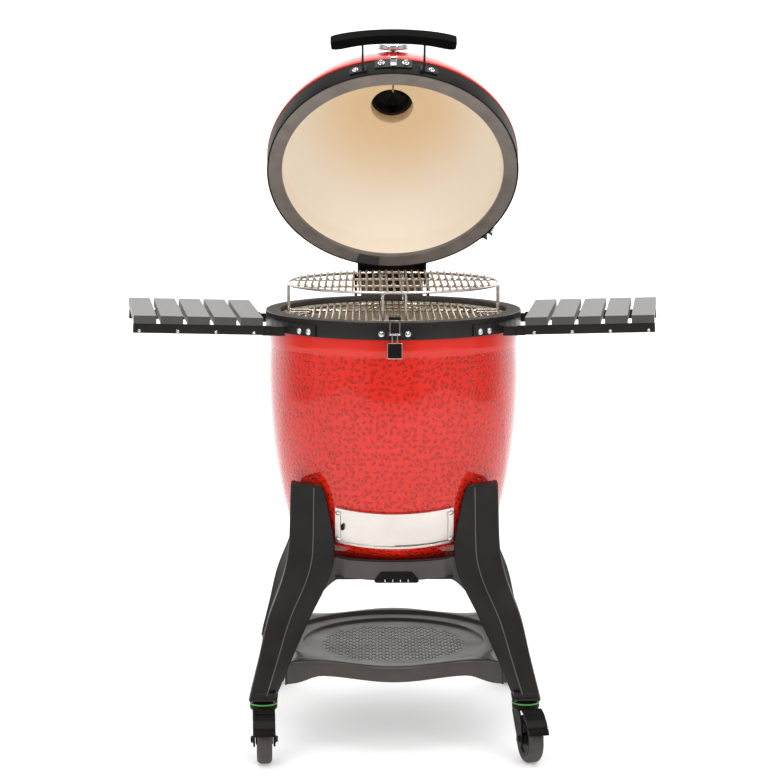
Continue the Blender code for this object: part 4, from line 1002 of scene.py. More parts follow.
def make_thermometer():
    place = thermo_place()
    body = [(0.0, 0.0010), (0.0150, 0.0015), (0.0330, 0.0040, 0.001), (0.0345, 0.0060, 0.001),
            (0.0345, 0.0130, 0.002), (0.0322, 0.0155, 0.0012), (0.0292, 0.0155, 0.0010), (0.0284, 0.0120),
            (0.0, 0.0120)]
    body = [(*p, 0) if len(p) == 2 else p for p in body]
    put(fresh("thermometer_case", moved(spun(fillet(body, 0), 64), place), MAT["chrome"], 40),
        "lid", ["thermometer"], lid=True)
    stem = [(0.0, STEM_TIP), (0.0012, STEM_TIP), (0.0022, STEM_TIP + 0.002), (0.0022, 0.0012),
            (0.0, 0.0012)]
    nut = hex_head(0.0085, 0.004)
    inner = moved(nut, Matrix.Translation((0, 0, -0.031)) @ Matrix.Rotation(pi, 4, "X"))
    put(fresh("thermometer_stem", moved(together(spun(stem, 16), inner), place), MAT["dark_steel"], 40),
        "lid", lid=True)
    disc = [(0.0, 0.0120), (0.0283, 0.0120), (0.0283, 0.0124), (0.0, 0.0124)]
    put(fresh("thermometer_dial", moved(spun(disc, 64), place), MAT["dial"], 40), "lid",
        lid=True)
    marks = []
    for k in range(25):
        turn = Matrix.Rotation(radians(-135 + 270 * k / 24), 4, "Z")
        long = 0.0050 if k % 4 == 0 else 0.0028
        marks.append(moved(box_bm((-0.0003, 0.0262 - long, 0.0123), (0.0003, 0.0262, 0.01255)), turn))
    pointer = prism([(-0.0010, -0.006), (0.0010, -0.006), (0.0003, 0.0205), (-0.0003, 0.0205)],
                    0.0128, 0.0132)
    marks.append(moved(pointer, Matrix.Rotation(radians(128), 4, "Z")))
    marks.append(spun([(0.0, 0.0124), (0.0022, 0.0124), (0.0018, 0.0138), (0.0, 0.0140)], 20))
    put(fresh("thermometer_pointer", moved(together(*marks), place), MAT["plastic"], 40), "lid",
        lid=True)
    pane = [(0.0, 0.0142), (0.0290, 0.0142), (0.0290, 0.0150), (0.0, 0.0153)]
    put(fresh("thermometer_glass", moved(spun(pane, 48), place), MAT["glass"], 40), "lid",
        lid=True)


def vent_drill(low_z, high_z, shift):
    holes = []
    for k in range(4):
        angle = pi / 2 * k + shift
        hole = spun([(0.0, low_z), (0.0120, low_z), (0.0120, high_z), (0.0, high_z)], 32)
        holes.append(moved(hole, Matrix.Translation((0.034 * sin(angle), -0.034 * cos(angle), 0))))
    return together(*holes)


def make_vent():
    neck, neck_low, top = VENT_R - 0.001, 1.1745, 1.2060
    body = [(neck - 0.006, neck_low, 0.0005), (neck, neck_low, 0.0005), (neck, VENT_SEAT_Z + 0.0003, 0),
            (0.066, VENT_SEAT_Z + 0.0003, 0.001), (0.066, VENT_SEAT_Z + 0.007, 0.003),
            (0.056, VENT_SEAT_Z + 0.010, 0.003), (0.056, top, 0.0015), (0.0, top, 0), (0.0, top - 0.005, 0),
            (neck - 0.006, top - 0.005, 0.002)]
    base = fresh("vent_body", spun(fillet(body, 0), 72), MAT["cast"], 40)
    put(cut(base, vent_drill(top - 0.02, top + 0.01, 0.0)), "lid", ["vent_base"], lid=True)
    up = top + 0.0003
    disc = [(0.0, up, 0), (0.058, up, 0.001), (0.058, up + 0.005, 0.002), (0.054, up + 0.007, 0.002),
            (0.018, up + 0.007, 0.003), (0.014, up + 0.016, 0.003), (0.0, up + 0.018, 0)]
    cap = fresh("vent_wheel", spun(fillet(disc, 0), 72), MAT["cast"], 40)
    put(cut(cap, vent_drill(up - 0.01, up + 0.03, pi / 4)), "vent_cap", ["vent_cap"],
        lid=True)
    tongue = [(-0.008, -0.052), (0.008, -0.052), (0.007, -0.074, 0.004), (-0.007, -0.074, 0.004)]
    tab = prism(fillet(tongue, 0.001), up + 0.001, up + 0.006)
    put(soften(fresh("vent_tab", tab, MAT["cast"]), 0.0012), "vent_cap", lid=True)


def make_handle():
    half, low_z, high_z = 0.1315, 0.9300, 0.9545
    outer, inner = [], []
    for s in steps(-1, 1, 40):
        outer.append((half * s, -0.3560 + 0.0155 * s * s + 0.003 * s ** 10))
        inner.append((half * s * 0.985, -0.3340 + 0.0225 * abs(s) ** 2.5 - 0.009 * s ** 12))
    bar = fresh("handle_bar", prism(outer + inner[::-1], low_z, high_z), MAT["handle"], 30)
    put(soften(bar, 0.0020, 4, 40), "lid", ["lid_handle"], lid=True)
    arms, bolts = [], []
    for sign in (-1, 1):
        x = sign * 0.0645
        outline = [(-0.2690, 0.9280), (-0.3380, 0.9330), (-0.3380, 0.9470), (-0.3300, 0.9440, 0.008),
                   (-0.2690, 0.9400)]
        arms.append(prism(fillet(outline, 0.0005), x - 0.0022, x + 0.0022, "X"))
        centre = asin(sign * 0.0735 / RIM_R)
        arms.append(spun([(RIM_R + 0.0006, 0.9250), (RIM_R + 0.0036, 0.9250), (RIM_R + 0.0036, 0.9430),
                          (RIM_R + 0.0006, 0.9430)], 8, centre - radians(4), radians(8)))
        bolts.append(band_bolt(asin(sign * 0.0790 / RIM_R), RIM_R + 0.0036, 0.934, dome_head(0.0046, 0.0050)))
    put(soften(fresh("handle_arms", together(*arms), MAT["black"], 40), 0.0008), "lid",
        lid=True)
    put(fresh("handle_bolts", together(*bolts), MAT["chrome"], 40), "lid", lid=True)


def make_keeper():
    inner, outer = RIM_R + 0.0008, RIM_R + 0.0034
    plate = spun([(inner, 0.9300), (outer, 0.9300), (outer, 0.9560), (inner, 0.9560)], 16, radians(-8.2),
                 radians(16.4))
    put(soften(fresh("keeper_plate", plate, MAT["band"], 40), 0.0008), "lid", ["latch_keeper"],
        lid=True)
    hook = [(-0.2745, 0.9330), (-0.2850, 0.9360), (-0.2905, 0.9440), (-0.2890, 0.9500), (-0.2850, 0.9450),
            (-0.2800, 0.9470), (-0.2745, 0.9540)]
    catch = fresh("keeper_hook", prism(fillet(hook, 0.0020), -0.0065, 0.0065, "X"), MAT["chrome"], 40)
    put(soften(catch, 0.0006), "lid", lid=True)
    bolts = [band_bolt(asin(sign * 0.0255 / outer), outer, 0.9430, dome_head(0.0052, 0.0085))
             for sign in (-1, 1)]
    put(fresh("keeper_bolts", together(*bolts), MAT["chrome"], 40), "lid", lid=True)


# ---------------------------------------------------------------- hinge
def make_hinge():
    cad("hinge_base_bracket", "black", 0.0009)
    cad("hinge_lid_bracket", "black", 0.0009)
    sheet = prism(fillet([(-0.0670, 0.9060), (0.0670, 0.9060), (0.0670, 0.9430), (-0.0670, 0.9430)], 0.002),
                  0.2968, 0.2982, "Y")
    put(soften(fresh("hinge_cover", sheet, MAT["cover"], 40), 0.0004), "root")
    plaque = prism(fillet([(-0.0120, 0.9130), (0.0170, 0.9130), (0.0170, 0.9400), (-0.0120, 0.9400)], 0.002),
                   0.2950, 0.2967, "Y")
    put(soften(fresh("hinge_cover_plate", plaque, MAT["black"], 40), 0.0005), "root")
    stud = moved(dome_head(0.0042, 0.0030), aim(Vector((0.0035, 0.2950, 0.9310)), Vector((0, -1, 0))))
    put(fresh("hinge_cover_stud", stud, MAT["chrome"], 40), "root")
    y, z = HINGE.y, HINGE.z
    pin = wire([(-0.0868, y, z), (0.0868, y, z)], 0.0060, 28)
    put(fresh("hinge_rod", pin, MAT["plated"], 40), "root", ["hinge_pin"])
    turns, half, coil_r = 6, 0.0600, 0.0091
    path = []
    for k in range(turns * 24 + 1):
        angle = 2 * pi * k / 24
        path.append((-half + 2 * half * k / (turns * 24), y + coil_r * cos(angle), z + coil_r * sin(angle)))
    put(fresh("hinge_coil", wire(path, 0.0015, 10), MAT["plated"], 50), "root", ["hinge_spring"])


# ---------------------------------------------------------------- latch
LEVER_PIVOT = Vector((0.0, -0.2835, 0.8870))
BAIL_PIVOT = Vector((0.0, -0.2935, 0.8925))


def make_latch():
    cad("latch_plate", "band", 0.0006)
    bolts = [band_bolt(asin(sign * 0.0265 / RIM_R), RIM_R + 0.0030, 0.8878, dome_head(0.0046, 0.0048))
             for sign in (-1, 1)]
    put(fresh("latch_bolts", together(*bolts), MAT["chrome"], 40), "root")

    y, z = LEVER_PIVOT.y, LEVER_PIVOT.z
    parts = [wire([(-0.0121, y, z), (0.0121, y, z)], 0.0022, 16)]
    for sign in (-1, 1):
        x0, x1 = sorted((sign * 0.0042, sign * 0.0062))
        arm = [(y - 0.0030, z + 0.0026), (y + 0.0026, z + 0.0026), (y - 0.0005, 0.8660), (y - 0.0060, 0.8660)]
        parts.append(prism(fillet(arm, 0.002), x0, x1, "X"))
    put(soften(fresh("latch_arms", together(*parts), MAT["plated"], 40), 0.0004), "latch_lever",
        ["latch_lever"])
    grip = [(-0.2812, 0.8700), (-0.2925, 0.8692), (-0.2958, 0.8402), (-0.2857, 0.8392)]
    put(soften(fresh("latch_grip", prism(fillet(grip, 0.0025), -0.0140, 0.0140, "X"), MAT["plastic"], 40),
               0.0022, 3), "latch_lever")
    rim = [(-0.2835, 0.8706), (-0.2880, 0.8704), (-0.2915, 0.8386), (-0.2872, 0.8384)]
    put(soften(fresh("latch_grip_rim", prism(fillet(rim, 0.001), -0.0150, 0.0150, "X"), MAT["chrome"], 40),
               0.0014, 3), "latch_lever")

    y, z = BAIL_PIVOT.y, BAIL_PIVOT.z
    half, top = 0.0098, 0.9285
    path = smooth_path([(-0.0121, y, z), (-half, y, z), (-half, y - 0.003, top), (half, y - 0.003, top),
                        (half, y, z), (0.0121, y, z)], 0.0045)
    put(fresh("latch_bail_wire", wire(path, 0.0018, 14), MAT["dark_steel"], 50), "latch_bail",
        ["latch_bail"])
    roller = wire([(-half - 0.001, y - 0.0026, 0.9215), (half + 0.001, y - 0.0026, 0.9215)], 0.0036, 20)
    put(fresh("latch_bail_roller", roller, MAT["plastic"], 50), "latch_bail")


# ---------------------------------------------------------------- side shelves
SHELF_YAW, SHELF_TILT = radians(7.74), radians(2.03)
SHELF_CORNER = (0.2706, -0.170, 0.909)
SLAT_T, RAIL_H = 0.0165, 0.0195
SHELF_RAILS = (0.0040, 0.2680)


def shelf_frame(side):
    """Axes of one shelf: outwards, back along the slats, and up."""
    a, b = SHELF_YAW, SHELF_TILT
    out = Vector((side * cos(a) * cos(b), -sin(a) * cos(b), sin(b)))
    back = Vector((side * sin(a), cos(a), 0))
    up = Vector((-side * sin(b) * cos(a), sin(b) * sin(a), cos(b)))
    corner = Vector((side * SHELF_CORNER[0], SHELF_CORNER[1], SHELF_CORNER[2]))
    return Matrix.Translation(corner) @ Matrix((out, back, up)).transposed().to_4x4()


def make_side_shelf(side, word):
    for k in range(1, 6):
        cad(f"shelf_slat_{word}_{k}", "slat", 0.0010)
    cad(f"shelf_frame_{word}", "black", 0.0007)
    to_world = shelf_frame(side)
    screws = []
    for k in range(4):
        point = to_world @ Vector((0.018 + 0.0787 * k, SHELF_RAILS[0], -SLAT_T - RAIL_H + 0.0040))
        screws.append(moved(dome_head(0.0026, 0.0016, False), aim(point, -to_world.col[1].to_3d())))
    put(fresh(f"shelf_screws_{word}", together(*screws), MAT["plated"], 40), f"side_shelf_{word}")
    pivots = []
    for v in SHELF_RAILS:
        point = to_world @ Vector((-0.010, v, -0.0270))
        pivots.append(moved(hex_head(0.0062, 0.0050), aim(point, -to_world.col[1].to_3d())))
    put(fresh(f"shelf_pivots_{word}", together(*pivots), MAT["black"], 40), f"side_shelf_{word}")
    bolts = []
    for node, angles in (("front", (39.6, 45.0)), ("rear", (106.0, 121.0))):
        cad(f"shelf_bracket_{word}_{node}", "band", 0.0006)
        for angle in angles:
            bolts.append(band_bolt(side * radians(angle), RIM_R + 0.0033, 0.8850, dome_head(0.0050, 0.0044)))
    put(fresh(f"bracket_bolts_{word}", together(*bolts), MAT["chrome"], 40), "root")


# ---------------------------------------------------------------- cart
LEG_SECTIONS = (                # height, ridge, end of the flat face, edge, depth of the edge's lip
    (0.1390, 0.2985, 0.2640, 0.2410, 0.2550), (0.2100, 0.2810, 0.2420, 0.2110, 0.2410),
    (0.2910, 0.2620, 0.2170, 0.1740, 0.2240), (0.3630, 0.2350, 0.1850, 0.1380, 0.2100),
    (0.4070, 0.2235, 0.1720, 0.1260, 0.1990), (0.4480, 0.2190, 0.1690, 0.1260, 0.1892),
    (0.5230, 0.2165, 0.1675, 0.1390, 0.2024), (0.5660, 0.2150, 0.1667, 0.1500, 0.2060),
)
LEG_WALL = 0.0040


def leg_section(z):
    """Leg sizes at a height, on a smooth curve through the sections."""
    rows = LEG_SECTIONS
    k = max(0, min(len(rows) - 2, sum(z >= row[0] for row in rows) - 1))
    before, a, b, after = rows[max(0, k - 1)], rows[k], rows[k + 1], rows[min(len(rows) - 1, k + 2)]
    t = (z - a[0]) / (b[0] - a[0])
    out = []
    for p, q, r, s, zp, zs in zip(before[1:], a[1:], b[1:], after[1:], [before[0]] * 4, [after[0]] * 4):
        width = b[0] - a[0]
        lead = (r - p) / max(1e-6, b[0] - zp) * width
        trail = (s - q) / max(1e-6, zs - a[0]) * width
        out.append((2 * t ** 3 - 3 * t ** 2 + 1) * q + (t ** 3 - 2 * t ** 2 + t) * lead
                   + (3 * t ** 2 - 2 * t ** 3) * r + (t ** 3 - t ** 2) * trail)
    return out


def offset_line(points, distance):
    """Move an open line sideways, to its left."""
    points = [Vector(p) for p in points]
    out = []
    for k, p in enumerate(points):
        ahead = (points[min(k + 1, len(points) - 1)] - p)
        back = (p - points[max(k - 1, 0)])
        ahead = ahead if ahead.length > 1e-9 else back
        back = back if back.length > 1e-9 else ahead
        n1 = Vector((-ahead.y, ahead.x)).normalized()
        n2 = Vector((-back.y, back.x)).normalized()
        n = (n1 + n2).normalized()
        out.append(p + n * distance / max(0.4, n.dot(n1)))
    return out


def make_leg(word, sx, sy):
    low_z, high_z, round_r = LEG_SECTIONS[0][0], LEG_SECTIONS[-1][0], 0.012
    heights = steps(low_z, high_z - round_r, 56)
    heights += [high_z - round_r + round_r * sin(pi / 2 * k / 6) for k in range(1, 7)]
    bm = bmesh.new()
    rings = []
    for z in heights:
        a, e, i, b = leg_section(z)
        above = max(0.0, z - (high_z - round_r))
        inset = round_r - sqrt(max(0.0, round_r ** 2 - above ** 2))
        corner = 0.0050
        deep = min(b + 0.010, a - 0.002)
        i, b, e = i + inset, min(b + inset * 0.2, deep - 0.001), e + inset * 0.4
        half = [(i, b, 0), (i, deep, 0.0030), (e, a, 0.0030), (a - corner, a, 0.0022)]
        line = fillet(half + [(p[1], p[0], p[2]) for p in half[::-1]], 0.002, 4, closed=False)
        inner = offset_line(line, -LEG_WALL)
        ring = [bm.verts.new((sx * p[0], sy * p[1], z)) for p in line]
        ring += [bm.verts.new((sx * p[0], sy * p[1], z)) for p in reversed(inner)]
        rings.append(ring)
    loft(bm, rings)
    leg = fresh(f"leg_sheet_{word}", bm, MAT["stand"], 40)
    put(soften(leg, 0.0010, 2, 60), "root", [f"leg_{word}"])

    # thin beads along the leg's two ridge lines in a lighter coat: a painted highlight on the ridges
    ridges = []
    for turned in (False, True):
        line = []
        for z in steps(low_z + 0.002, high_z - 0.0060, 60):
            a, e, i, b = leg_section(z)
            x, y = (a, e) if turned else (e, a)
            line.append((sx * x, sy * y, z))
        ridges.append(wire(line, 0.0011, 8))
    put(fresh(f"leg_ridge_highlights_{word}", together(*ridges), MAT["ridge"], 40), "root")

    a, e, i, b = LEG_SECTIONS[-1][1:]
    d = (BOWL_R * 0.9370 + 0.0020) / sqrt(2)
    cap = [(a - 0.008, a - 0.002), (e, a - 0.002), (i + 0.012, b + 0.002), (d, d), (b + 0.002, i + 0.012),
           (a - 0.002, e), (a - 0.002, a - 0.008)]
    plug = prism([(sx * x, sy * y) for x, y in cap], high_z - 0.0045, high_z - 0.0008)
    x, y = sx * CASTER_XY, sy * CASTER_XY
    block = prism(fillet([(x - 0.0265, y - 0.0265), (x + 0.0265, y - 0.0265), (x + 0.0265, y + 0.0265),
                          (x - 0.0265, y + 0.0265)], 0.004), FORK_TOP_Z + 0.0095, low_z + 0.006)
    put(soften(fresh(f"leg_ends_{word}", together(plug, block), MAT["stand"], 40), 0.0010), "root")
    make_flange(word, x, y)


def make_flange(word, x, y):
    """Dished plate under the leg, held by bolts, that the caster's stem passes through."""
    outline = fillet([(x - 0.0295, y - 0.0295), (x + 0.0295, y - 0.0295), (x + 0.0295, y + 0.0295),
                      (x - 0.0295, y + 0.0295)], 0.009)
    plate = prism(outline, FORK_TOP_Z + 0.0040, FORK_TOP_Z + 0.0094)
    neck_low, neck_top = FORK_TOP_Z + 0.0003, FORK_TOP_Z + 0.0042
    neck = moved(spun([(0.0, neck_low), (0.0200, neck_low), (0.0240, neck_top), (0.0, neck_top)], 40),
                 Matrix.Translation((x, y, 0)))
    put(soften(fresh(f"caster_plate_{word}", together(plate, neck), MAT["black"], 40), 0.0012), "root")
    heads = []
    for dx in (-0.0215, 0.0215):
        for dy in (-0.0215, 0.0215):
            place = Matrix.Translation((x + dx, y + dy, FORK_TOP_Z + 0.0040)) @ Matrix.Rotation(pi, 4, "X")
            heads.append(moved(dome_head(0.0034, 0.0024), place))
    put(fresh(f"caster_plate_bolts_{word}", together(*heads), MAT["chrome"], 40), "root")


def sheet_with_holes(outline, holes, low_z, high_z, inside):
    """Flat sheet with round holes. inside(x, y) says which of its triangles stay."""
    points, edges = [], []
    for loop in [outline] + holes:
        first = len(points)
        points += [Vector(p) for p in loop]
        edges += [(first + k, first + (k + 1) % len(loop)) for k in range(len(loop))]
    verts, _, faces, *_ = delaunay_2d_cdt(points, edges, [], 0, 1e-7)
    kept = []
    for face in faces:
        middle = sum((verts[i] for i in face), Vector((0, 0))) / len(face)
        if inside(middle.x, middle.y):
            kept.append(face)
    bm = bmesh.new()
    top = [bm.verts.new((v.x, v.y, high_z)) for v in verts]
    bottom = [bm.verts.new((v.x, v.y, low_z)) for v in verts]
    uses = {}
    for face in kept:
        bm.faces.new([top[i] for i in face])
        bm.faces.new([bottom[i] for i in reversed(face)])
        for a, b in zip(face, face[1:] + face[:1]):
            key = (min(a, b), max(a, b))
            uses[key] = None if key in uses else (a, b)
    for pair in uses.values():
        if pair:
            a, b = pair
            bm.faces.new((top[b], top[a], bottom[a], bottom[b]))
    bmesh.ops.delete(bm, geom=[v for v in bm.verts if not v.link_faces], context="VERTS")
    return bm


def round_loop(x, y, radius, count):
    turns = [2 * pi * k / count for k in range(count)]
    return [(x + radius * cos(turn), y + radius * sin(turn)) for turn in turns]


APRON_Y, APRON_HALF = 0.2190, 0.1232


def make_upper_frame():
    half, reach = APRON_HALF, APRON_Y - 0.0040
    cross = [(-half, -reach), (half, -reach), (half, -half), (reach, -half), (reach, half), (half, half),
             (half, reach), (-half, reach), (-half, half), (-reach, half), (-reach, -half), (-half, -half)]
    top = BOWL_FOOT_Z - 0.0003

    def inside(x, y):
        arm = min(abs(x), abs(y)) < half and max(abs(x), abs(y)) < reach
        return arm and x * x + y * y > 0.0699 ** 2

    plate = sheet_with_holes(cross, [round_loop(0, 0, 0.070, 64)], top - 0.0057, top, inside)
    put(fresh("bowl_rest", plate, MAT["stand"], 40), "root", ["upper_frame"])

    aprons, gap_shades = [], []
    for quarter in range(4):
        turn = Matrix.Rotation(quarter * pi / 2, 4, "Z")
        aprons.append(moved(bent_apron(0.0, 0.0040, 0.0, 0.1500), turn))
        # a black strip behind each apron, rising a little above its top: painted shade for the gap under the
        # bowl
        gap_shades.append(moved(bent_apron(0.0020, 0.0, 0.0300, 0.1230), turn))
    put(fresh("aprons", together(*aprons), MAT["apron"], 40), "root")
    put(fresh("bowl_gap_shade", together(*gap_shades), MAT["stand"], 40), "root")

    x0, x1, z0, z1, face = -0.0425, 0.0515, 0.3595, 0.3835, APRON_Y
    outline = [(x0, z0 + 0.004), (x0 + 0.004, z0), (x1 - 0.004, z0), (x1, z0 + 0.004),
               (x1 - 0.004, z0 + 0.011), (x1 - 0.015, z1), (x0 + 0.015, z1), (x0 + 0.004, z0 + 0.011)]
    plate = prism(fillet(outline, 0.002), -face - 0.0022, -face, "Y")
    put(soften(fresh("blank_plate", plate, MAT["plastic"], 40), 0.0007), "root")
    ridges = []
    for k in range(4):
        x = (x0 + x1) / 2 + 0.0160 * (k - 1.5)
        ridges.append(box_bm((x - 0.0008, -face - 0.0034, z0 + 0.0016),
                             (x + 0.0008, -face - 0.0020, z0 + 0.0076)))
    put(soften(fresh("blank_plate_ridges", together(*ridges), MAT["plated"], 40), 0.0003), "root")


def bent_apron(back, drop, lift, wide):
    """Arched plate between two legs. Its ends bend back, to meet the legs from behind."""
    thick = 0.0060
    bm = bmesh.new()
    rings = []
    for x in steps(-wide, wide, 72):
        away = abs(x)
        face = APRON_Y - back - 0.0160 * ease((away - 0.0960) / 0.0300)
        low = 0.3635 + 0.0075 * min(1.0, away / 0.1000) ** 2
        low += lift - 0.0345 * (max(0.0, away - 0.0930) / 0.0570) ** 2.0
        top = 0.4070 - drop + 0.008 * min(1.0, away / APRON_HALF) ** 2
        corners = ((-face, low), (-face, top), (thick - face, top), (thick - face, low))
        rings.append([bm.verts.new((x, y, z)) for y, z in corners])
    loft(bm, rings)
    return bm


def tray_side(count):
    """The tray's plan: four wavy sides."""
    points = []
    for quarter in range(4):
        c, s = round(cos(quarter * pi / 2)), round(sin(quarter * pi / 2))
        for x in steps(-0.2290, 0.2290, count):
            y = -0.2360 - 0.026 * cos(2 * pi * x / 0.33)
            points.append((x * c - y * s, x * s + y * c))
    return points


def make_tray():
    floor, step, top, sheet = SHELF_TOP - 0.0160, SHELF_TOP - 0.0090, SHELF_TOP, 0.0026
    plan = tray_side(40)
    field = 0.1600

    def circle(radius, z):
        return [(radius * x / sqrt(x * x + y * y), radius * y / sqrt(x * x + y * y), z) for x, y in plan]

    def edge(inset, z, dip=0.0):
        ring = []
        for x, y in plan:
            size = sqrt(x * x + y * y)
            share = 1 - inset / size
            near = ease((min(abs(x), abs(y)) - 0.150) / 0.060)
            ring.append((x * share, y * share, z - dip * near))
        return ring

    rings = [circle(field, floor), circle(0.1938, floor), circle(0.1958, floor + 0.0008),
             circle(0.1978, step - 0.0008), circle(0.1998, step), circle(0.2332, step),
             circle(0.2352, step + 0.0008), circle(0.2366, top - 0.0010), circle(0.2386, top),
             edge(0.0060, top), edge(0.0030, top - 0.0007), edge(0.0010, top - 0.0024),
             edge(0.0, top - 0.0050),
             edge(0.0, SHELF_LOW + 0.010, 0.008), edge(0.0, SHELF_LOW, 0.014),
             edge(sheet, SHELF_LOW, 0.014), edge(sheet, top - 0.0060), edge(sheet + 0.004, top - sheet),
             circle(0.2410, top - sheet), circle(0.2376, step - sheet), circle(0.2010, step - sheet),
             circle(0.1972, floor - sheet), circle(field, floor - sheet)]
    bm = bmesh.new()
    loops = [[bm.verts.new(p) for p in ring] for ring in rings]
    for first, second in zip(loops, loops[1:] + loops[:1]):
        bridge(bm, first, second)
    put(fresh("tray", bm, MAT["tray"], 40), "root", ["lower_shelf"])

    hole_r, pitch = 0.0048, 0.0143
    row_h = pitch * sqrt(3) / 2

    def perforated(x, y):
        """Holes have their centres inside a circle that is cut flat at the front and back."""
        return sqrt(x * x + y * y) < 0.1535 and abs(y) < 0.1485

    holes = []
    for row in range(-12, 13):
        y = row * row_h
        for k in range(-12, 13):
            x = (k + (0.5 if row % 2 else 0.0)) * pitch
            if perforated(x, y):
                holes.append((x, y))
    loops = [round_loop(x, y, hole_r, 14) for x, y in holes]

    def inside(x, y):
        if x * x + y * y > (field + 0.0005) ** 2:
            return False
        row = round(y / row_h)
        for near in (row - 1, row, row + 1):
            shift = 0.5 if near % 2 else 0.0
            column = round(x / pitch - shift)
            hx, hy = (column + shift) * pitch, near * row_h
            if (x - hx) ** 2 + (y - hy) ** 2 < (hole_r * 0.985) ** 2 and perforated(hx, hy):
                return False
        return True

    plate = sheet_with_holes(round_loop(0, 0, field + 0.0004, 96), loops, floor - sheet + 0.0002,
                             floor - 0.0002, inside)
    put(fresh("tray_perforated", plate, MAT["tray"], 40), "root")


# ---------------------------------------------------------------- casters
CASTER_XY, CASTER_TRAIL, AXLE_Z, TYRE_W, FORK_TOP_Z = 0.2716, 0.031, 0.050, 0.032, 0.1240
CASTER_YAWS = {"front_left": -86, "front_right": -76, "rear_left": 82, "rear_right": 97}


def make_caster(word, yaw):
    sx = 1 if "right" in word else -1
    sy = 1 if "rear" in word else -1
    place = Matrix.Translation((sx * CASTER_XY, sy * CASTER_XY, 0)) @ Matrix.Rotation(radians(yaw), 4, "Z")
    half, cheek, trail = TYRE_W / 2 + 0.0030, 0.0040, CASTER_TRAIL
    body = f"caster_{word}"
    cover = [(0.0, 0.1050, 0), (0.0240, 0.1050, 0.003), (0.0285, 0.1085, 0.003), (0.0285, 0.1225, 0.001),
             (0.0225, 0.1232, 0.001), (0.0225, FORK_TOP_Z, 0.001), (0.0, FORK_TOP_Z, 0)]
    parts = [spun(fillet(cover, 0), 48)]
    outline = [(-0.0185, 0.1080), (-0.0215, 0.0980, 0.006), (trail - 0.0150, 0.0420, 0.010),
               (trail - 0.0080, 0.0345, 0.006), (trail + 0.0080, 0.0345, 0.006),
               (trail + 0.0150, 0.0430, 0.008), (trail + 0.0110, 0.0900, 0.012), (0.0235, 0.1080)]
    for sign in (-1, 1):
        y0, y1 = sorted((sign * half, sign * (half + cheek)))
        parts.append(prism(fillet(outline, 0.001, 5), y0, y1, "Y"))
    fork = fresh(f"caster_cover_{word}", moved(together(*parts), place), MAT["plastic"], 40)
    put(soften(fork, 0.0011, 2, 50), body, [f"caster_fork_{word}"])
    ring = [(0.0270, 0.1184, 0.0003), (0.0291, 0.1184, 0.0006), (0.0291, 0.1212, 0.0006),
            (0.0270, 0.1212, 0.0003)]
    put(fresh(f"caster_ring_{word}", moved(spun(fillet(ring, 0.001), 48), place), MAT["green"], 50), body)

    axle = place @ Matrix.Translation((trail, 0, AXLE_Z)) @ Matrix.Rotation(pi / 2, 4, "X")
    w = TYRE_W / 2
    tyre = [(0.0365, -w + 0.0035, 0.001), (0.0440, -w, 0.004), (0.0480, -w + 0.0030, 0.004),
            (0.0500, -w + 0.0075, 0.003), (0.0500, w - 0.0075, 0.003), (0.0480, w - 0.0030, 0.004),
            (0.0440, w, 0.004), (0.0365, w - 0.0035, 0.001)]
    put(fresh(f"caster_tyre_{word}", moved(spun(fillet(tyre, 0.001), 72), axle), MAT["rubber"], 40),
        f"wheel_{word}", [f"caster_wheel_{word}"])
    hub = [(0.0, -w - 0.0018, 0), (0.0110, -w - 0.0018, 0.001), (0.0125, -w + 0.0040, 0.002),
           (0.0280, -w + 0.0055, 0.002), (0.0310, -w + 0.0020, 0.002), (0.0368, -w + 0.0025, 0.001),
           (0.0368, w - 0.0025, 0.001), (0.0310, w - 0.0020, 0.002), (0.0280, w - 0.0055, 0.002),
           (0.0125, w - 0.0040, 0.002), (0.0110, w + 0.0018, 0.001), (0.0, w + 0.0018, 0)]
    put(fresh(f"caster_hub_{word}", moved(spun(fillet(hub, 0.001), 48), axle), MAT["plastic"], 40),
        f"wheel_{word}")
    nuts = []
    for sign in (-1, 1):
        end = place @ Vector((trail, sign * (half + cheek), AXLE_Z))
        nuts.append(moved(hex_head(0.0072, 0.0052), aim(end, place.to_3x3() @ Vector((0, sign, 0)), 0.4)))
    put(fresh(f"caster_nuts_{word}", together(*nuts), MAT["black"], 40), body)
    if word.startswith("front"):
        make_pedal(word, place)


def make_pedal(word, place):
    """Brake pedal: fine ribs at the top, a smooth panel between two grooves and a thick lip."""
    inner, outer = 0.0600, 0.0638
    below, above = [], []
    for degrees_up in steps(20.0, 84.0, 64):
        angle = radians(degrees_up)
        rise = 0.0
        if degrees_up > 56:
            rise = 0.0014 if int((degrees_up - 56) / 1.5) % 2 else 0.0
        elif 52 < degrees_up < 55 or 32 < degrees_up < 34.5:
            rise = -0.0012
        elif degrees_up < 31:
            rise = 0.0022
        below.append((CASTER_TRAIL + inner * cos(angle), AXLE_Z + inner * sin(angle)))
        above.append((CASTER_TRAIL + (outer + rise) * cos(angle), AXLE_Z + (outer + rise) * sin(angle)))
    pedal = fresh(f"brake_pedal_{word}", moved(prism(below + above[::-1], -0.0212, 0.0212, "Y"), place),
                  MAT["plastic"], 30)
    put(soften(pedal, 0.0006, 1, 50), f"brake_{word}", [f"caster_brake_{word}"])


# ---------------------------------------------------------------- assembly
make_bowl()
make_inside()
make_grates()
make_draft_door()
make_lid()
make_thermometer()
make_vent()
make_handle()
make_keeper()
make_hinge()
make_latch()
make_side_shelf(-1, "left")
make_side_shelf(1, "right")
for leg_word, leg_x, leg_y in (("front_left", -1, -1), ("front_right", 1, -1), ("rear_left", -1, 1),
                               ("rear_right", 1, 1)):
    make_leg(leg_word, leg_x, leg_y)
make_upper_frame()
make_tray()
for caster_word, caster_yaw in CASTER_YAWS.items():
    make_caster(caster_word, caster_yaw)


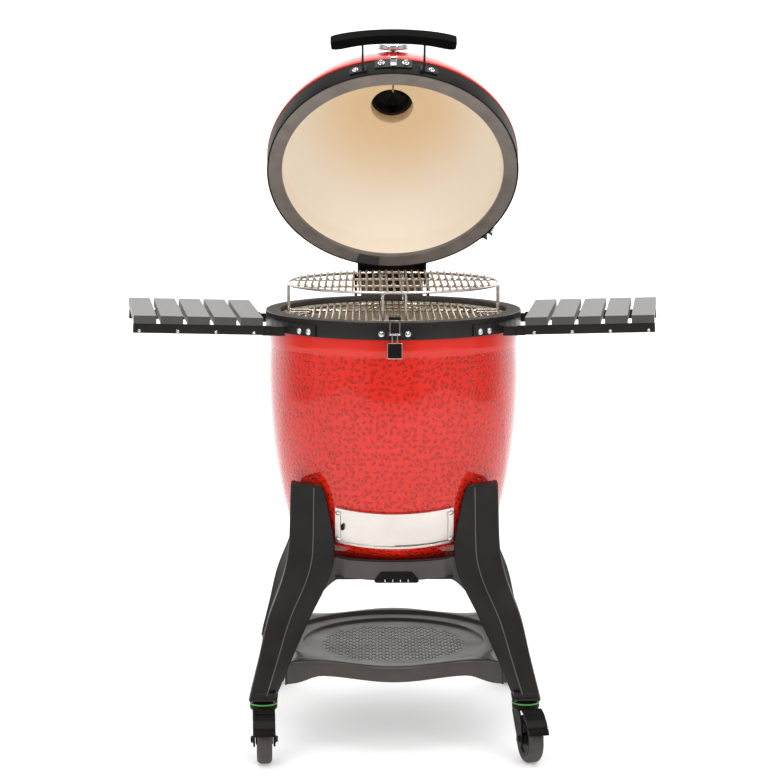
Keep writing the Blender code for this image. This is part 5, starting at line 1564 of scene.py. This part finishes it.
# ---------------------------------------------------------------- floor, light and camera
def make_floor():
    bm = bmesh.new()
    corners = ((-4.0, -4.0), (4.0, -4.0), (4.0, 1.8), (-4.0, 1.8))
    bm.faces.new([bm.verts.new((x, y, 0)) for x, y in corners])
    shader = Shader("floor_white", (0.95, 0.95, 0.95), 0.6)
    shader.set("Specular IOR Level", 0.2)
    mixed(shader, (0.945, 0.945, 0.945), (0.955, 0.955, 0.955), 2.0)
    shader.set("Emission Color", (1.0, 1.0, 1.0, 1.0))
    shader.set("Emission Strength", 0.25)
    floor = fresh("floor", bm, shader.mat)
    floor.location.z = -0.0002


def softbox(name, azimuth, elevation, distance, size, power, mirrored=True, lit=True):
    """Rectangular soft light that faces the grill. It can be kept out of reflections or of shading."""
    light = bpy.data.lights.new(name, "AREA")
    light.shape = "RECTANGLE"
    light.size, light.size_y = size
    light.energy = power
    lamp = bpy.data.objects.new(name, light)
    bpy.context.scene.collection.objects.link(lamp)
    target = Vector((0, 0, 0.75))
    a, e = radians(azimuth), radians(elevation)
    lamp.location = target + Vector((sin(a) * cos(e), -cos(a) * cos(e), sin(e))) * distance
    lamp.rotation_euler = (target - lamp.location).to_track_quat("-Z", "Y").to_euler()
    lamp.visible_glossy = mirrored
    lamp.visible_diffuse = lit


def make_world():
    """White behind the grill and dim on the camera's side, so that dark coats stay dark."""
    world = bpy.context.scene.world or bpy.data.worlds.new("studio")
    bpy.context.scene.world = world
    world.use_nodes = True
    nodes, links = world.node_tree.nodes, world.node_tree.links
    background = nodes["Background"]
    coordinates = nodes.new("ShaderNodeTexCoord")
    axes = nodes.new("ShaderNodeSeparateXYZ")
    fade = nodes.new("ShaderNodeMapRange")
    fade.interpolation_type = "SMOOTHSTEP"
    for socket, value in (("From Min", 0.10), ("From Max", 0.70), ("To Min", 0.40), ("To Max", 1.45)):
        fade.inputs[socket].default_value = value
    links.new(coordinates.outputs["Generated"], axes.inputs[0])
    links.new(axes.outputs["Y"], fade.inputs["Value"])
    links.new(fade.outputs["Result"], background.inputs["Strength"])
    background.inputs["Color"].default_value = (1, 1, 1, 1)


STRIP_SIZE = (3.5, 4.0)          # the widest box of each side strip
STRIP_NESTS, STRIP_STEP = 4, 0.42    # smaller boxes inside it give the strip a soft edge
STRIP_POWER = 11.4


def make_lights():
    """Two soft strips beside the grill, fills that aren't mirrored, small glints and a top light."""
    for nest in range(STRIP_NESTS):
        strip = [side - STRIP_STEP * nest for side in STRIP_SIZE]
        softbox(f"strip_left_{nest}", -50, 6, 3.2, strip, STRIP_POWER)
        softbox(f"strip_right_{nest}", 50, 6, 3.2, strip, STRIP_POWER)
    softbox("fill_left", -38, 22, 3.2, (2.2, 2.6), 30, False)
    softbox("fill_right", 38, 22, 3.2, (2.2, 2.6), 30, False)
    softbox("glint_left", -32, 48, 3.0, (0.6, 0.6), 40, True, False)
    softbox("glint_right", 32, 48, 3.0, (0.6, 0.6), 40, True, False)
    softbox("light_top", 0, 84, 3.0, (3.2, 3.2), 70)


def make_camera():
    data = bpy.data.cameras.new("camera")
    data.sensor_width = 36.0
    data.lens = 103.92
    data.shift_x = -0.0049
    data.dof.use_dof = False
    data.clip_end = 200.0
    camera = bpy.data.objects.new("camera", data)
    camera.location = (-0.0502, -4.7930, 1.4310)
    camera.rotation_euler = (radians(81.73), 0.0, radians(-0.6))
    bpy.context.scene.collection.objects.link(camera)
    bpy.context.scene.camera = camera


make_floor()
make_world()
make_lights()
make_camera()
bpy.context.scene.view_settings.view_transform = "Standard"

bpy.context.view_layer.update()
